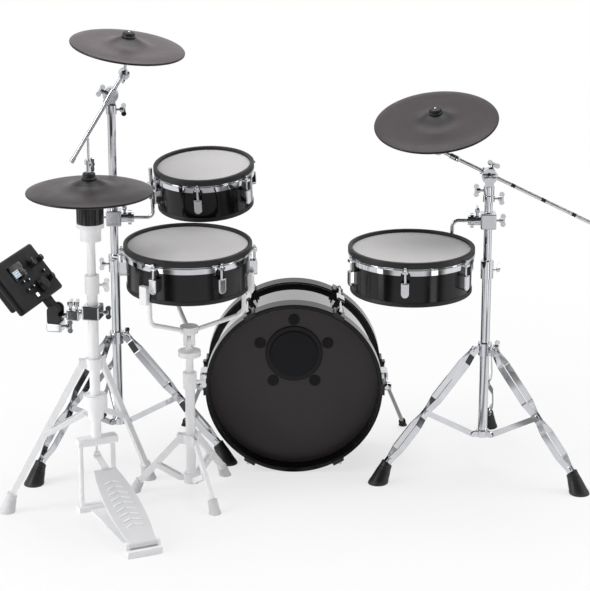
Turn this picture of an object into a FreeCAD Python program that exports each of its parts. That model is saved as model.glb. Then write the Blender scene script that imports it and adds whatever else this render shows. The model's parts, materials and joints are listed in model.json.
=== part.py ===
"""Electronic drum kit: a kick drum, three mesh pads, three cymbal pads, their stands and a sound module.

Millimetres, Z up, X to the drummer's right, Y away from the drummer. Places are measured from the kick
drum's axis and the drummer's side of its hoop. The finished kit is then moved so that the origin lies
on the floor under the middle of its outline.
"""
import FreeCAD
import Part
import math
import os

V = FreeCAD.Vector
ORIGIN = V(0, 0, 0)
RIGHT = V(1, 0, 0)
BACK = V(0, 1, 0)
UP = V(0, 0, 1)
FULL_TURN = 360.0
HALF_TURN = 180.0

# Middle of the kit's outline on the floor
KIT_CENTRE_X = 37.7
KIT_CENTRE_Y = -56.88

# Clearances: parts that rest on each other, parts that run on each other, pins in their holes
SEAT_GAP = 0.2
RUN_GAP = 0.3
PIN_GAP = 0.15
CUT_OVERRUN = 2.0

# Wing bolts
BOLT_RADIUS = 3.5
BOLT_LENGTH = 9.0
WING_HUB_RADIUS = 6.5
WING_HUB_LENGTH = 10.0
WING_REACH = 11.0
WING_LOBE_RADIUS = 7.0
WING_THICKNESS = 5.0
WING_WAIST = 10.0

# Mesh pads: rubber rim, mesh head, shell
RIM_HEIGHT = 15.0
RIM_WIDTH = 11.0
RIM_LIP = 8.5
RIM_ROUND = 3.5
SHELL_INSET = 7.5
SHELL_WALL = 7.0
DRUM_HEIGHT = 120.0
COVER_INSET = 8.0
COVER_THICKNESS = 4.0
HEAD_THICKNESS = 0.8
HEAD_SKIRT = 11.0
FLESH_WIDTH = 2.8
FLESH_HEIGHT = 3.0

# Mesh pads: chrome hoop, tension rods and lugs
HOOP_WALL = 2.4
HOOP_HEIGHT = 20.0
HOOP_FLANGE = 2.5
HOOP_NOTCH_RADIUS = 13.0
LUG_COUNT = 6
EAR_DROP = 5.0
EAR_HEIGHT = 6.0
EAR_WIDTH = 15.0
EAR_WALL = 4.0
TENSION_STANDOFF = 7.0
TENSION_RADIUS = 3.0
TENSION_HEAD_RADIUS = 4.5
TENSION_HEAD_HEIGHT = 5.0
LUG_DROP = 51.0
LUG_HEIGHT = 40.0
LUG_WIDTH = 21.0
LUG_WALL = 7.0
LUG_ROUND = 3.0

# Mesh pads: side bracket and the L-rod that it grips
BRACKET_DROP = 44.0
BRACKET_HEIGHT = 40.0
BRACKET_WIDTH = 36.0
BRACKET_WALL = 6.0
BRACKET_ROUND = 3.0
L_ROD_RADIUS = 5.0
L_ROD_BEND = 18.0
L_ROD_RIM_GAP = 3.5

# Snare pad
SNARE_X = -276.0
SNARE_Y = -150.0
SNARE_Z = 704.0
SNARE_RIM_DIAMETER = 336.0
SNARE_LEAN_FRONT_ANGLE = 2.0
SNARE_LUG_ANGLE = 2.0
SNARE_BRACKET_ANGLE = 165.0

# Tom pad
TOM_RIM_DIAMETER = 274.0
TOM_LEAN_RIGHT_ANGLE = -2.2
TOM_LEAN_FRONT_ANGLE = 6.6
TOM_LUG_ANGLE = 25.0
TOM_BRACKET_ANGLE = 190.0
TOM_CORNER_BELOW_RIM = 143.0
TOM_ROD_REACH = 108.0

# Floor tom pad
FLOOR_TOM_RIM_DIAMETER = 334.0
FLOOR_TOM_LUG_ANGLE = 22.0
FLOOR_TOM_BRACKET_ANGLE = 48.8
FLOOR_TOM_CORNER_ABOVE_RIM = 32.0
FLOOR_TOM_ROD_REACH = 96.0
FLOOR_TOM_ROD_TAIL = 12.0

# Kick drum
KICK_SHELL_DIAMETER = 462.0
KICK_HOOP_OVERHANG = 11.0
KICK_HOOP_DIAMETER = KICK_SHELL_DIAMETER + 2 * KICK_HOOP_OVERHANG
KICK_HOOP_WALL = 12.0
KICK_HOOP_WIDTH = 45.0
KICK_HOOP_ROUND = 2.5
KICK_DEPTH = 255.0
KICK_SHELL_WALL = 8.0
KICK_FILM = 1.0
KICK_FLESH_WIDTH = 8.5
KICK_FLESH_DEPTH = 8.0
KICK_PAD_BELOW_TOP = 142.0
KICK_PAD_ABOVE_AXIS = KICK_SHELL_DIAMETER / 2 - KICK_PAD_BELOW_TOP
KICK_PAD_DIAMETER = 128.0
KICK_PAD_THICKNESS = 7.0
KICK_RING_DIAMETER = 156.0
KICK_RING_THICKNESS = 4.0
KICK_DOT_DIAMETER = 31.0
KICK_DOT_THICKNESS = 2.0
KICK_DOT_RADIUS = 97.0
KICK_DOT_COUNT = 5

# Kick drum claws, lugs and tension rods
KICK_LUG_COUNT = 6
CLAW_WIDTH = 32.0
CLAW_WALL = 5.0
CLAW_LIP = 6.0
CLAW_LIP_WALL = 3.0
CLAW_BOSS_LENGTH = 20.0
CLAW_BOSS_HEIGHT = 13.0
CLAW_ROUND = 1.5
KICK_ROD_RADIUS = 3.2
KICK_ROD_STANDOFF = 11.5
KICK_ROD_HEAD_RADIUS = 5.0
KICK_ROD_HEAD_LENGTH = 12.0
KICK_LUG_LENGTH = 46.0
KICK_LUG_WIDTH = 24.0
KICK_LUG_WALL = 7.0
KICK_LUG_ROUND = 5.0

# Kick drum spurs
SPUR_DEPTH = 128.0
SPUR_DROP_ANGLE = 9.0
SPUR_BLOCK_WIDTH = 40.0
SPUR_BLOCK_HEIGHT = 24.0
SPUR_BLOCK_ROUND = 4.0
SPUR_PIN_RADIUS = 4.0
SPUR_EYE_RADIUS = 12.0
SPUR_EYE_WIDTH = 14.0
SPUR_ROD_RADIUS = 6.0
SPUR_SPREAD = 60.0
SPUR_FORWARD = 246.0
SPUR_TIP_TOP_RADIUS = 8.5
SPUR_TIP_RADIUS = 10.5
SPUR_TIP_LENGTH = 30.0

# Chrome stands: tubes and the clamp at the lower tube's top
COLUMN_RADIUS = 12.7
COLUMN_WALL = 1.4
COLUMN_FOOT_Z = 92.0
UPPER_RADIUS = 11.0
UPPER_WALL = 1.5
UPPER_OVERLAP = 210.0
SLEEVE_RADIUS = 17.5
SLEEVE_LENGTH = 44.0
SLEEVE_LIP = 5.0

# Chrome stands: tripod
LEG_COUNT = 3
LEG_PIVOT_RADIUS = 30.0
LEG_PIVOT_Z = 347.0
STRUT_PIVOT_RADIUS = 30.0
STRUT_PIVOT_Z = 101.0
STRUT_ON_LEG = 217.0
FOOT_RADIUS = 336.0
LEG_STRIP_WIDTH = 19.0
LEG_STRIP_THICKNESS = 2.5
LEG_BULGE = 15.5
LEG_NECK = 14.0
LEG_SLOPE = 34.0
LEG_BEND = 26.0
LEG_HEAD = 5.0
LEG_FOOT_SPREAD = 5.0
LEG_PIN_RADIUS = 4.0
LEG_PIN_HEAD_RADIUS = 7.0
LEG_PIN_HEAD = 2.5
BOOT_LENGTH = 74.0
BOOT_TOP_RADIUS = 14.0
BOOT_BOTTOM_RADIUS = 26.0
BOOT_UPRIGHT_SHARE = 0.42
COLLAR_RADIUS = 19.5
COLLAR_HEIGHT = 34.0
COLLAR_LUG_THICKNESS = 9.0
COLLAR_LUG_RADIUS = 9.0
STRUT_WIDTH = 15.0
STRUT_THICKNESS = 6.0
STRUT_PIN_RADIUS = 3.0
SPIDER_RADIUS = 18.0
SPIDER_HEIGHT = 18.0
SPIDER_EAR_THICKNESS = 3.0
SPIDER_EAR_RADIUS = 7.0
FOLDED_LEG_ANGLE = 6.0

# Chrome stands: boom tilter, boom rod and cymbal tilter
CHEEK_RADIUS = 21.0
CHEEK_THICKNESS = 12.0
TILTER_PIN_RADIUS = 4.0
TILTER_NECK_WIDTH = 24.0
TILTER_SOCKET_RADIUS = 14.5
TILTER_SOCKET_LENGTH = 24.0
BARREL_RADIUS = 10.5
BARREL_LENGTH = 44.0
BOOM_ROD_RADIUS = 5.4
BOOM_CAP_RADIUS = 6.8
BOOM_CAP_LENGTH = 14.0
BOOM_MARK_WIDTH = 3.0
BOOM_MARK_DEPTH = 0.7
CYMBAL_CHEEK_RADIUS = 14.0
CYMBAL_CHEEK_THICKNESS = 11.0
CYMBAL_PIN_RADIUS = 3.0
POST_RADIUS = 4.0
POST_SEAT_RADIUS = 9.0
POST_SEAT_HEIGHT = 26.0

# Cymbal pads
PAD_THICKNESS = 6.5
PAD_EDGE_ROUND = 3.0
PAD_HOLE_RADIUS = 6.3
PAD_BELL_RADIUS = 52.0
PAD_BELL_HEIGHT = 15.0
PAD_BOW_HEIGHT = 10.0
PAD_CROWN_RADIUS = 15.0
PAD_SEAT_GAP = 0.45
PAD_SWING_ANGLE = 6.0
CAP_RADIUS = 15.5
CAP_HEIGHT = 13.0
CAP_ROOF = 3.5
CAP_ROUND = 4.0
POST_ABOVE_BELL = 6.5

# Left chrome stand with the crash pad and the tom
LEFT_X = -491.0
LEFT_Y = 142.0
LEFT_LEG_ANGLE = 106.5
LEFT_COLUMN_TOP = 580.0
LEFT_CLAMP_ANGLE = 185.0
LEFT_TUBE_TOP = 990.0
LEFT_PIVOT_Z = 1031.0
LEFT_BOOM_ANGLE = 59.0
LEFT_BOOM_LOW = 198.0
LEFT_BOOM_HIGH = 73.0
LEFT_TOM_CLAMP_Z = 690.0
LEFT_POST_LENGTH = 79.0
CRASH_DIAMETER = 308.0
CRASH_LEAN_RIGHT_ANGLE = 7.8
CRASH_LEAN_FRONT_ANGLE = 5.1

# Right chrome stand with the ride pad and the floor tom
RIGHT_X = 520.5
RIGHT_Y = 41.0
RIGHT_LEG_ANGLE = 82.0
RIGHT_COLUMN_TOP = 592.0
RIGHT_CLAMP_ANGLE = 10.0
RIGHT_TUBE_TOP = 792.0
RIGHT_PIVOT_Z = 832.0
RIGHT_BOOM_ANGLE = 154.0
RIGHT_BOOM_LOW = 352.0
RIGHT_BOOM_HIGH = 151.5
RIGHT_TOM_CLAMP_Z = 709.0
RIGHT_POST_LENGTH = 81.0
RIGHT_MARK_SPACING = 92.0
RIGHT_MARK_COUNT = 3
STOP_COLLAR_Z = 762.0
STOP_COLLAR_HEIGHT = 16.0
STOP_COLLAR_RADIUS = 16.0
RIDE_DIAMETER = 332.0
RIDE_LEAN_RIGHT_ANGLE = -6.6
RIDE_LEAN_FRONT_ANGLE = 16.0

# Tom clamps on the chrome stands
CLAMP_WIDTH = 42.0
CLAMP_DEPTH = 38.0
CLAMP_HEIGHT = 44.0
CLAMP_ROUND = 4.0
HOLDER_RADIUS = 13.0
HOLDER_LENGTH = 34.0
RATCHET_RADIUS = 20.0
RATCHET_THICKNESS = 9.0

# Hi-hat: stand
HIHAT_X = -518.0
HIHAT_Y = -253.0
HIHAT_PEDAL_ANGLE = -65.0
HIHAT_LEG_ANGLES = (-174.0, 60.0)
HIHAT_FOOT_RADIUS = 252.0
HIHAT_TUBE_RADIUS = 13.5
HIHAT_TUBE_WALL = 2.4
HIHAT_TUBE_TOP = 640.0
HIHAT_UPPER_RADIUS = 10.8
HIHAT_UPPER_WALL = 2.4
HIHAT_UPPER_FOOT_Z = 520.0
HIHAT_SLEEVE_RADIUS = 18.5
HIHAT_SLEEVE_LENGTH = 44.0
HIHAT_BOSS_RADIUS = 31.0
HIHAT_BOSS_Z = 284.0
HIHAT_BOSS_HEIGHT = 36.0
HIHAT_COLLAR_Z = 406.0
HIHAT_COLLAR_RADIUS = 21.0
HIHAT_COLLAR_HEIGHT = 30.0
HIHAT_LEG_TOP_RADIUS = 31.0
HIHAT_BAR_WIDTH = 17.0
HIHAT_BAR_THICKNESS = 10.0
HIHAT_STRUT_RADIUS = 29.0
HIHAT_STRUT_WIDTH = 14.0
HIHAT_STRUT_THICKNESS = 4.0
HIHAT_STRUT_ON_LEG = 220.0
HIHAT_LUG_LENGTH = 16.0
HIHAT_BOOT_LENGTH = 58.0
HIHAT_BOOT_TOP_RADIUS = 12.0
HIHAT_BOOT_BOTTOM_RADIUS = 20.0
CUP_Z = 738.0
CUP_RADIUS = 27.0
CUP_HEIGHT = 34.0
CUP_FLANGE_RADIUS = 35.0
CUP_FLANGE_HEIGHT = 12.0

# Hi-hat: yoke, base plate and footboard
YOKE_SPREAD = 45.0
YOKE_ROD_RADIUS = 6.5
YOKE_TOP_Z = 204.0
YOKE_BLOCK_WIDTH = 30.0
YOKE_BLOCK_HEIGHT = 22.0
YOKE_ROUND = 5.0
BASE_BAR_WIDTH = 30.0
BASE_BAR_HEIGHT = 14.0
BASE_PLATE_WIDTH = 52.0
BASE_PLATE_THICKNESS = 6.0
HEEL_FROM_AXIS = 322.0
HEEL_HINGE_Z = 27.0
HEEL_BLOCK_LENGTH = 44.0
HEEL_BLOCK_WIDTH = 92.0
HEEL_LUG_THICKNESS = 8.0
HEEL_PIN_RADIUS = 4.0
HEEL_BARREL_RADIUS = 9.0
FOOTBOARD_LENGTH = 284.0
FOOTBOARD_HEEL_WIDTH = 70.0
FOOTBOARD_TOE_WIDTH = 60.0
FOOTBOARD_BELLY_WIDTH = 92.0
FOOTBOARD_THICKNESS = 8.0
FOOTBOARD_ANGLE = 20.0
PEDAL_TRAVEL_ANGLE = 6.0

# Hi-hat: pull rod, clutch, pad and sensor unit
PULL_ROD_RADIUS = 3.2
PULL_ROD_FOOT_Z = 160.0
PULL_ROD_TOP_Z = 1005.0
PULL_LINK_RADIUS = 8.0
PULL_LINK_LENGTH = 18.0
STRAP_WIDTH = 20.0
STRAP_THICKNESS = 4.0
HIHAT_RIM_Z = 868.0
HIHAT_DIAMETER = 324.0
HIHAT_BOW_HEIGHT = 17.0
HIHAT_BELL_HEIGHT = 14.0
HIHAT_CAP_HEIGHT = 16.0
CLUTCH_RADIUS = 7.0
CLUTCH_LENGTH = 34.0
CLUTCH_COLLAR_RADIUS = 10.0
CLUTCH_COLLAR_HEIGHT = 12.0
SENSOR_RADIUS = 35.0
SENSOR_HEIGHT = 50.0
SENSOR_ROUND = 3.0
SENSOR_RIB_COUNT = 24
SENSOR_RIB_RADIUS = 1.6

# Snare stand
STAND_FOOT_RADIUS = 168.0
STAND_LEG_ANGLE = 56.0
STAND_TUBE_RADIUS = 13.0
STAND_TUBE_FOOT_Z = 36.0
STAND_TUBE_TOP = 340.0
STAND_UPPER_RADIUS = 10.0
STAND_LEG_TOP_Z = 158.0
STAND_LEG_TOP_RADIUS = 28.0
STAND_STRUT_Z = 46.0
STAND_STRUT_ON_LEG = 100.0
STAND_COLLAR_RADIUS = 20.0
STAND_COLLAR_HEIGHT = 26.0
STAND_SLEEVE_RADIUS = 18.0
STAND_SLEEVE_LENGTH = 40.0
STAND_KNOB_Z = 392.0
STAND_KNOB_RADIUS = 30.0
STAND_KNOB_HEIGHT = 14.0
STAND_BOOT_LENGTH = 44.0
STAND_BOOT_TOP_RADIUS = 11.0
STAND_BOOT_BOTTOM_RADIUS = 15.0
BASKET_PIVOT_Z = 432.0
BASKET_FORK_WIDTH = 10.0
BASKET_FORK_RADIUS = 14.0
BASKET_PIN_RADIUS = 4.0
BASKET_HUB_RADIUS = 24.0
BASKET_HUB_Z = 456.0
BASKET_HUB_HEIGHT = 18.0
BASKET_ARM_RADIUS = 6.0
BASKET_ARM_ANGLE = 110.0
BASKET_ARM_BEND = 30.0
GRIP_DEPTH = 26.0
GRIP_WIDTH = 26.0
GRIP_FLOOR = 8.0
GRIP_RISE = 42.0
GRIP_ROUND = 3.0

# Sound module
MODULE_X = -681.5
MODULE_Y = -258.0
MODULE_Z = 639.5
MODULE_TURN_ANGLE = 73.0
MODULE_TILT_ANGLE = 39.0
MODULE_WIDTH = 252.0
MODULE_LENGTH = 143.0
MODULE_THICKNESS = 44.0
MODULE_SLAB_THICKNESS = 18.0
MODULE_BELLY_INSET = 20.0
MODULE_ROUND = 7.0
MODULE_TONGUE_WIDTH = 30.0
MODULE_TONGUE_SHARE = 0.68
MODULE_TONGUE_THICKNESS = 14.0
MODULE_TONGUE_LENGTH = 36.0
MODULE_HINGE_RADIUS = 13.0
MODULE_HINGE_DEPTH = 7.0
MODULE_PIN_RADIUS = 4.0
MODULE_EAR_THICKNESS = 7.0
DIAL_RADIUS = 17.0
DIAL_HEIGHT = 13.0
DIAL_STEM_RADIUS = 3.0
DIAL_STEM_LENGTH = 6.0
DIAL_ROUND = 2.0
DIAL_PLACE_SHARES = (0.64, 0.75)
KNOB_RADIUS = 8.0
KNOB_HEIGHT = 12.0
KNOB_PLACE_SHARES = ((0.74, 0.31), (0.92, 0.33), (0.88, 0.72))
BUTTON_RADIUS = 5.0
BUTTON_HEIGHT = 3.0
BUTTON_DEPTH = 3.0
BUTTON_PRESS = 1.2
BUTTON_PLACE_SHARES = (
    (0.85, 0.55), (0.48, 0.54), (0.37, 0.52), (0.35, 0.69), (0.48, 0.68), (0.43, 0.85))
BUTTON_BRIDGE_THICKNESS = 1.6
SCREEN_CENTRE_SHARES = (0.40, 0.31)
SCREEN_WIDTH = 66.0
SCREEN_LENGTH = 36.0
SCREEN_THICKNESS = 1.5
MODULE_BASE_RADIUS = 15.0
MODULE_BASE_HEIGHT = 16.0
MODULE_JAW_WIDTH = 40.0
MODULE_JAW_HEIGHT = 26.0
MODULE_ARM_RADIUS = 6.5
MODULE_KNUCKLE_LENGTH = 34.0
MODULE_KNUCKLE_WIDTH = 26.0
MODULE_KNUCKLE_HEIGHT = 28.0
MODULE_KNUCKLE_SHARE = 0.49
MODULE_CLAMP_Z = 547.0
MODULE_CLAMP_WIDTH = 46.0
MODULE_CLAMP_HEIGHT = 38.0

LEFT = {
    "name": "left", "x": LEFT_X, "y": LEFT_Y, "leg_angle": LEFT_LEG_ANGLE,
    "column_top": LEFT_COLUMN_TOP, "clamp_angle": LEFT_CLAMP_ANGLE, "tube_top": LEFT_TUBE_TOP,
    "pivot_z": LEFT_PIVOT_Z, "boom_side": -1, "boom_angle": LEFT_BOOM_ANGLE,
    "boom_low": LEFT_BOOM_LOW, "boom_high": LEFT_BOOM_HIGH, "mark_spacing": 0, "mark_count": 0,
    "post": LEFT_POST_LENGTH, "cymbal": "crash_cymbal", "cymbal_diameter": CRASH_DIAMETER,
    "lean_right": CRASH_LEAN_RIGHT_ANGLE, "lean_front": CRASH_LEAN_FRONT_ANGLE,
    "tom_clamp_z": LEFT_TOM_CLAMP_Z, "tom_side": 1, "tom_reach": TOM_ROD_REACH}
RIGHT_STAND = {
    "name": "right", "x": RIGHT_X, "y": RIGHT_Y, "leg_angle": RIGHT_LEG_ANGLE,
    "column_top": RIGHT_COLUMN_TOP, "clamp_angle": RIGHT_CLAMP_ANGLE, "tube_top": RIGHT_TUBE_TOP,
    "pivot_z": RIGHT_PIVOT_Z, "boom_side": 1, "boom_angle": RIGHT_BOOM_ANGLE,
    "boom_low": RIGHT_BOOM_LOW, "boom_high": RIGHT_BOOM_HIGH,
    "mark_spacing": RIGHT_MARK_SPACING, "mark_count": RIGHT_MARK_COUNT,
    "post": RIGHT_POST_LENGTH, "cymbal": "ride_cymbal", "cymbal_diameter": RIDE_DIAMETER,
    "lean_right": RIDE_LEAN_RIGHT_ANGLE, "lean_front": RIDE_LEAN_FRONT_ANGLE,
    "tom_clamp_z": RIGHT_TOM_CLAMP_Z, "tom_side": -1, "tom_reach": FLOOR_TOM_ROD_REACH}


# Shapes that the pieces are made of

def rod(radius, start, end):
    return Part.makeCylinder(radius, (end - start).Length, start, end - start)


def pipe(outer, inner, start, end):
    return rod(outer, start, end).cut(rod(inner, start, end))


def frame(origin, z_axis, x_hint):
    """Placement whose Z lies along z_axis and whose X leans towards x_hint."""
    z = V(z_axis).normalize()
    x = (x_hint - z * x_hint.dot(z)).normalize()
    y = z.cross(x)
    return FreeCAD.Placement(FreeCAD.Matrix(
        x.x, y.x, z.x, origin.x, x.y, y.y, z.y, origin.y, x.z, y.z, z.z, origin.z, 0, 0, 0, 1))


def placed(shape, place):
    return shape.transformed(place.Matrix, True)


def turned(shape, angle):
    return placed(shape, FreeCAD.Placement(ORIGIN, FreeCAD.Rotation(UP, angle)))


def ring(outline):
    """Solid of revolution about Z from radius and height pairs."""
    corners = [V(radius, 0, height) for radius, height in outline]
    return Part.Face(Part.makePolygon(corners + corners[:1])).revolve(ORIGIN, UP, FULL_TURN)


def block(width, depth, height, centre):
    return Part.makeBox(width, depth, height, centre - V(width, depth, height) * 0.5)


def soft_block(width, depth, height, centre, edge_round):
    shape = block(width, depth, height, centre)
    return shape.makeFillet(edge_round, shape.Edges)


def joined(shapes):
    return shapes[0].fuse(shapes[1:]).removeSplitter()


def bent_path(points, bend):
    """Straight runs joined by tangent arcs of one radius."""
    edges = []
    last = points[0]
    for before, corner, after in zip(points, points[1:], points[2:]):
        arriving = (corner - before).normalize()
        leaving = (after - corner).normalize()
        half = arriving.getAngle(leaving) / 2
        inward = (leaving - arriving).normalize()
        start = corner - arriving * (bend * math.tan(half))
        end = corner + leaving * (bend * math.tan(half))
        middle = corner + inward * (bend / math.cos(half) - bend)
        edges.append(Part.LineSegment(last, start).toShape())
        edges.append(Part.Arc(start, middle, end).toShape())
        last = end
    edges.append(Part.LineSegment(last, points[-1]).toShape())
    return Part.Wire(edges)


def bent_rod(points, bend, radius):
    section = Part.Wire(Part.Circle(points[0], points[1] - points[0], radius).toShape())
    return bent_path(points, bend).makePipeShell([section], True, False)


def wing_bolt(start, axis, wing_hint):
    """Bolt shank, hub and two flat lobes with a waist, standing on start and pointing along axis."""
    hub_end = UP * (BOLT_LENGTH + WING_HUB_LENGTH)
    shapes = [rod(BOLT_RADIUS, ORIGIN, hub_end), rod(WING_HUB_RADIUS, UP * BOLT_LENGTH, hub_end)]
    for side in (-1, 1):
        lobe = V(side * WING_REACH, -WING_THICKNESS / 2, BOLT_LENGTH + WING_HUB_LENGTH)
        shapes.append(rod(WING_LOBE_RADIUS, lobe, lobe + BACK * WING_THICKNESS))
    shapes.append(block(WING_REACH * 2, WING_THICKNESS, WING_WAIST, hub_end))
    return placed(joined(shapes), frame(start, axis, wing_hint))


def leaning(right_angle, front_angle):
    """Direction that leans from upright to the right and towards the drummer."""
    return V(math.tan(math.radians(right_angle)), -math.tan(math.radians(front_angle)), 1).normalize()


def flat_direction(angle):
    return V(math.cos(math.radians(angle)), math.sin(math.radians(angle)), 0)


def flat_bar(start, end, width, thickness, thin_axis):
    bar = block(thickness, width, (end - start).Length, UP * ((end - start).Length / 2))
    return placed(bar, frame(start, end - start, thin_axis))


def rubber_boot(top, tip, top_radius, bottom_radius):
    """Boot square to the leg at its top, which comes down on a round, flat sole."""
    sole = V(tip.x, tip.y, 0) * (1 - BOOT_UPRIGHT_SHARE) + V(top.x, top.y, 0) * BOOT_UPRIGHT_SHARE
    upper = Part.Wire(Part.makeCircle(top_radius, top, tip - top))
    lower = Part.Wire(Part.makeCircle(bottom_radius, sole, -UP))
    return Part.makeLoft([upper, lower], True, True)


def upright(origin, angle=0):
    """Placement with Z up, whose X points along an angle on the floor."""
    return frame(origin, UP, flat_direction(angle))


# Mesh pads

def tension_radius(rim_diameter):
    shell = rim_diameter / 2 - SHELL_INSET
    return shell + 3 * SEAT_GAP + FLESH_WIDTH + HOOP_WALL + TENSION_STANDOFF


def bracket_radius(rim_diameter):
    return rim_diameter / 2 + L_ROD_RIM_GAP + L_ROD_RADIUS


def pad_shell(rim_diameter):
    outer = rim_diameter / 2 - SHELL_INSET
    inner = outer - SHELL_WALL
    top = -RIM_LIP - SEAT_GAP - HEAD_THICKNESS
    shell = ring([(inner, top), (outer, top), (outer, -DRUM_HEIGHT), (inner, -DRUM_HEIGHT)])
    low = UP * (COVER_INSET - DRUM_HEIGHT)
    cover = rod(inner - SEAT_GAP, low, low + UP * COVER_THICKNESS)
    return [shell, cover]


def pad_rim(rim_diameter):
    outer = rim_diameter / 2
    skirt = outer - SHELL_INSET + HEAD_THICKNESS + 3 * SEAT_GAP
    rim = ring([
        (outer - RIM_WIDTH, 0), (outer, 0), (outer, -RIM_HEIGHT),
        (skirt, -RIM_HEIGHT), (skirt, -RIM_LIP), (outer - RIM_WIDTH, -RIM_LIP)])
    top_edges = [edge for edge in rim.Edges if abs(edge.BoundBox.ZMax) < SEAT_GAP and edge.Closed]
    return [rim.makeFillet(RIM_ROUND, [edge for edge in top_edges if edge.BoundBox.ZLength < SEAT_GAP])]


def pad_head(rim_diameter):
    shell = rim_diameter / 2 - SHELL_INSET
    top = -RIM_LIP - SEAT_GAP
    skirt = shell + SEAT_GAP + HEAD_THICKNESS
    flesh = shell + SEAT_GAP + FLESH_WIDTH
    return [ring([
        (0, top), (skirt, top), (skirt, top - HEAD_SKIRT), (flesh, top - HEAD_SKIRT),
        (flesh, top - HEAD_SKIRT - FLESH_HEIGHT), (shell + SEAT_GAP, top - HEAD_SKIRT - FLESH_HEIGHT),
        (shell + SEAT_GAP, top - HEAD_THICKNESS), (0, top - HEAD_THICKNESS)])]


def pad_hoop(rim_diameter, lug_angle):
    """Chrome hoop with its ears, six tension rods and six lugs."""
    shell = rim_diameter / 2 - SHELL_INSET
    wall_in = shell + 3 * SEAT_GAP + FLESH_WIDTH
    wall_out = wall_in + HOOP_WALL
    top = -RIM_HEIGHT - SEAT_GAP
    flange = -RIM_LIP - HEAD_SKIRT
    flange_in = shell + HEAD_THICKNESS + 2 * SEAT_GAP
    hoop = ring([
        (wall_in, top), (wall_out, top), (wall_out, top - HOOP_HEIGHT), (wall_in, top - HOOP_HEIGHT),
        (wall_in, flange), (flange_in, flange), (flange_in, flange + HOOP_FLANGE),
        (wall_in, flange + HOOP_FLANGE)])
    centre = tension_radius(rim_diameter)
    ear_top = top - EAR_DROP
    ear_end = centre + TENSION_RADIUS + EAR_WALL
    ear_start = wall_in + HOOP_WALL / 2
    ear = block(ear_end - ear_start, EAR_WIDTH, EAR_HEIGHT,
                V((ear_start + ear_end) / 2, 0, ear_top - EAR_HEIGHT / 2))
    hole = rod(TENSION_RADIUS + PIN_GAP, V(centre, 0, ear_top - 2 * EAR_HEIGHT), V(centre, 0, ear_top + EAR_HEIGHT))
    notch = rod(HOOP_NOTCH_RADIUS, V(shell, 0, top - HOOP_HEIGHT), V(ear_end, 0, top - HOOP_HEIGHT))
    angles = [lug_angle + FULL_TURN * step / LUG_COUNT for step in range(LUG_COUNT)]
    hoop = hoop.cut([turned(notch, angle) for angle in angles])
    hoop = hoop.fuse([turned(ear, angle) for angle in angles])
    hoop = hoop.cut([turned(hole, angle) for angle in angles])
    pieces = [hoop]
    for angle in angles:
        pieces += [turned(piece, angle) for piece in tension_pieces(shell, centre, ear_top)]
    return pieces


def tension_pieces(shell, centre, ear_top):
    """One tension rod with its key head, and the lug that it screws into."""
    axis = V(centre, 0, 0)
    stud = rod(TENSION_RADIUS, axis - UP * LUG_DROP, axis + UP * ear_top)
    head = rod(TENSION_HEAD_RADIUS, axis + UP * ear_top, axis + UP * (ear_top + TENSION_HEAD_HEIGHT))
    back = shell + SEAT_GAP
    depth = centre + LUG_WALL - back
    low = -LUG_DROP - LUG_HEIGHT + LUG_WIDTH / 2
    body = block(depth, LUG_WIDTH, -LUG_DROP - low, V(back + depth / 2, 0, (low - LUG_DROP) / 2))
    base = rod(LUG_WIDTH / 2, V(back, 0, low), V(back + depth, 0, low))
    lug = joined([body, base])
    face_edges = [edge for edge in lug.Edges if edge.BoundBox.XMin > back + depth - SEAT_GAP]
    return [joined([stud, head]), lug.makeFillet(LUG_ROUND, face_edges)]


def pad_bracket(rim_diameter, angle):
    """Block on the shell with an upright bore for the L-rod, and its wing bolt."""
    back = rim_diameter / 2 - SHELL_INSET + SEAT_GAP
    bore = bracket_radius(rim_diameter)
    front = bore + L_ROD_RADIUS + BRACKET_WALL
    middle = -BRACKET_DROP - BRACKET_HEIGHT / 2
    body = soft_block(front - back, BRACKET_WIDTH, BRACKET_HEIGHT, V((back + front) / 2, 0, middle), BRACKET_ROUND)
    hole = rod(L_ROD_RADIUS + PIN_GAP, V(bore, 0, middle - BRACKET_HEIGHT), V(bore, 0, middle + BRACKET_HEIGHT))
    bolt = wing_bolt(V(front, 0, middle), RIGHT, BACK)
    return [turned(body.cut(hole), angle), turned(bolt, angle)]


def pad_pieces(name, place, rim_diameter, lug_angle, bracket_angle):
    hardware = pad_hoop(rim_diameter, lug_angle) + pad_bracket(rim_diameter, bracket_angle)
    groups = {
        "shell": pad_shell(rim_diameter), "rim": pad_rim(rim_diameter),
        "head": pad_head(rim_diameter), "hoop": hardware}
    return {name + "_" + piece: [placed(shape, place) for shape in shapes] for piece, shapes in groups.items()}


def snare_place():
    return frame(V(SNARE_X, SNARE_Y, SNARE_Z), leaning(0, SNARE_LEAN_FRONT_ANGLE), RIGHT)


def rod_corner(stand):
    """Where the L-rod turns from its level part to the part that carries the drum."""
    return V(stand["x"] + stand["tom_side"] * stand["tom_reach"], stand["y"], stand["tom_clamp_z"])


def hung_place(corner, normal, rim_diameter, bracket_angle, corner_height):
    """Frame of a drum whose bracket grips a rod that runs through corner along normal."""
    axes = frame(ORIGIN, normal, RIGHT)
    to_rod = axes.multVec(flat_direction(bracket_angle) * bracket_radius(rim_diameter))
    return frame(corner - to_rod - normal * corner_height, normal, RIGHT)


def tom_place():
    normal = leaning(TOM_LEAN_RIGHT_ANGLE, TOM_LEAN_FRONT_ANGLE)
    return hung_place(rod_corner(LEFT), normal, TOM_RIM_DIAMETER, TOM_BRACKET_ANGLE, -TOM_CORNER_BELOW_RIM)


def floor_tom_place():
    return hung_place(
        rod_corner(RIGHT_STAND), UP, FLOOR_TOM_RIM_DIAMETER, FLOOR_TOM_BRACKET_ANGLE, FLOOR_TOM_CORNER_ABOVE_RIM)


# Kick drum, built with Z towards the drummer and Y up

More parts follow.
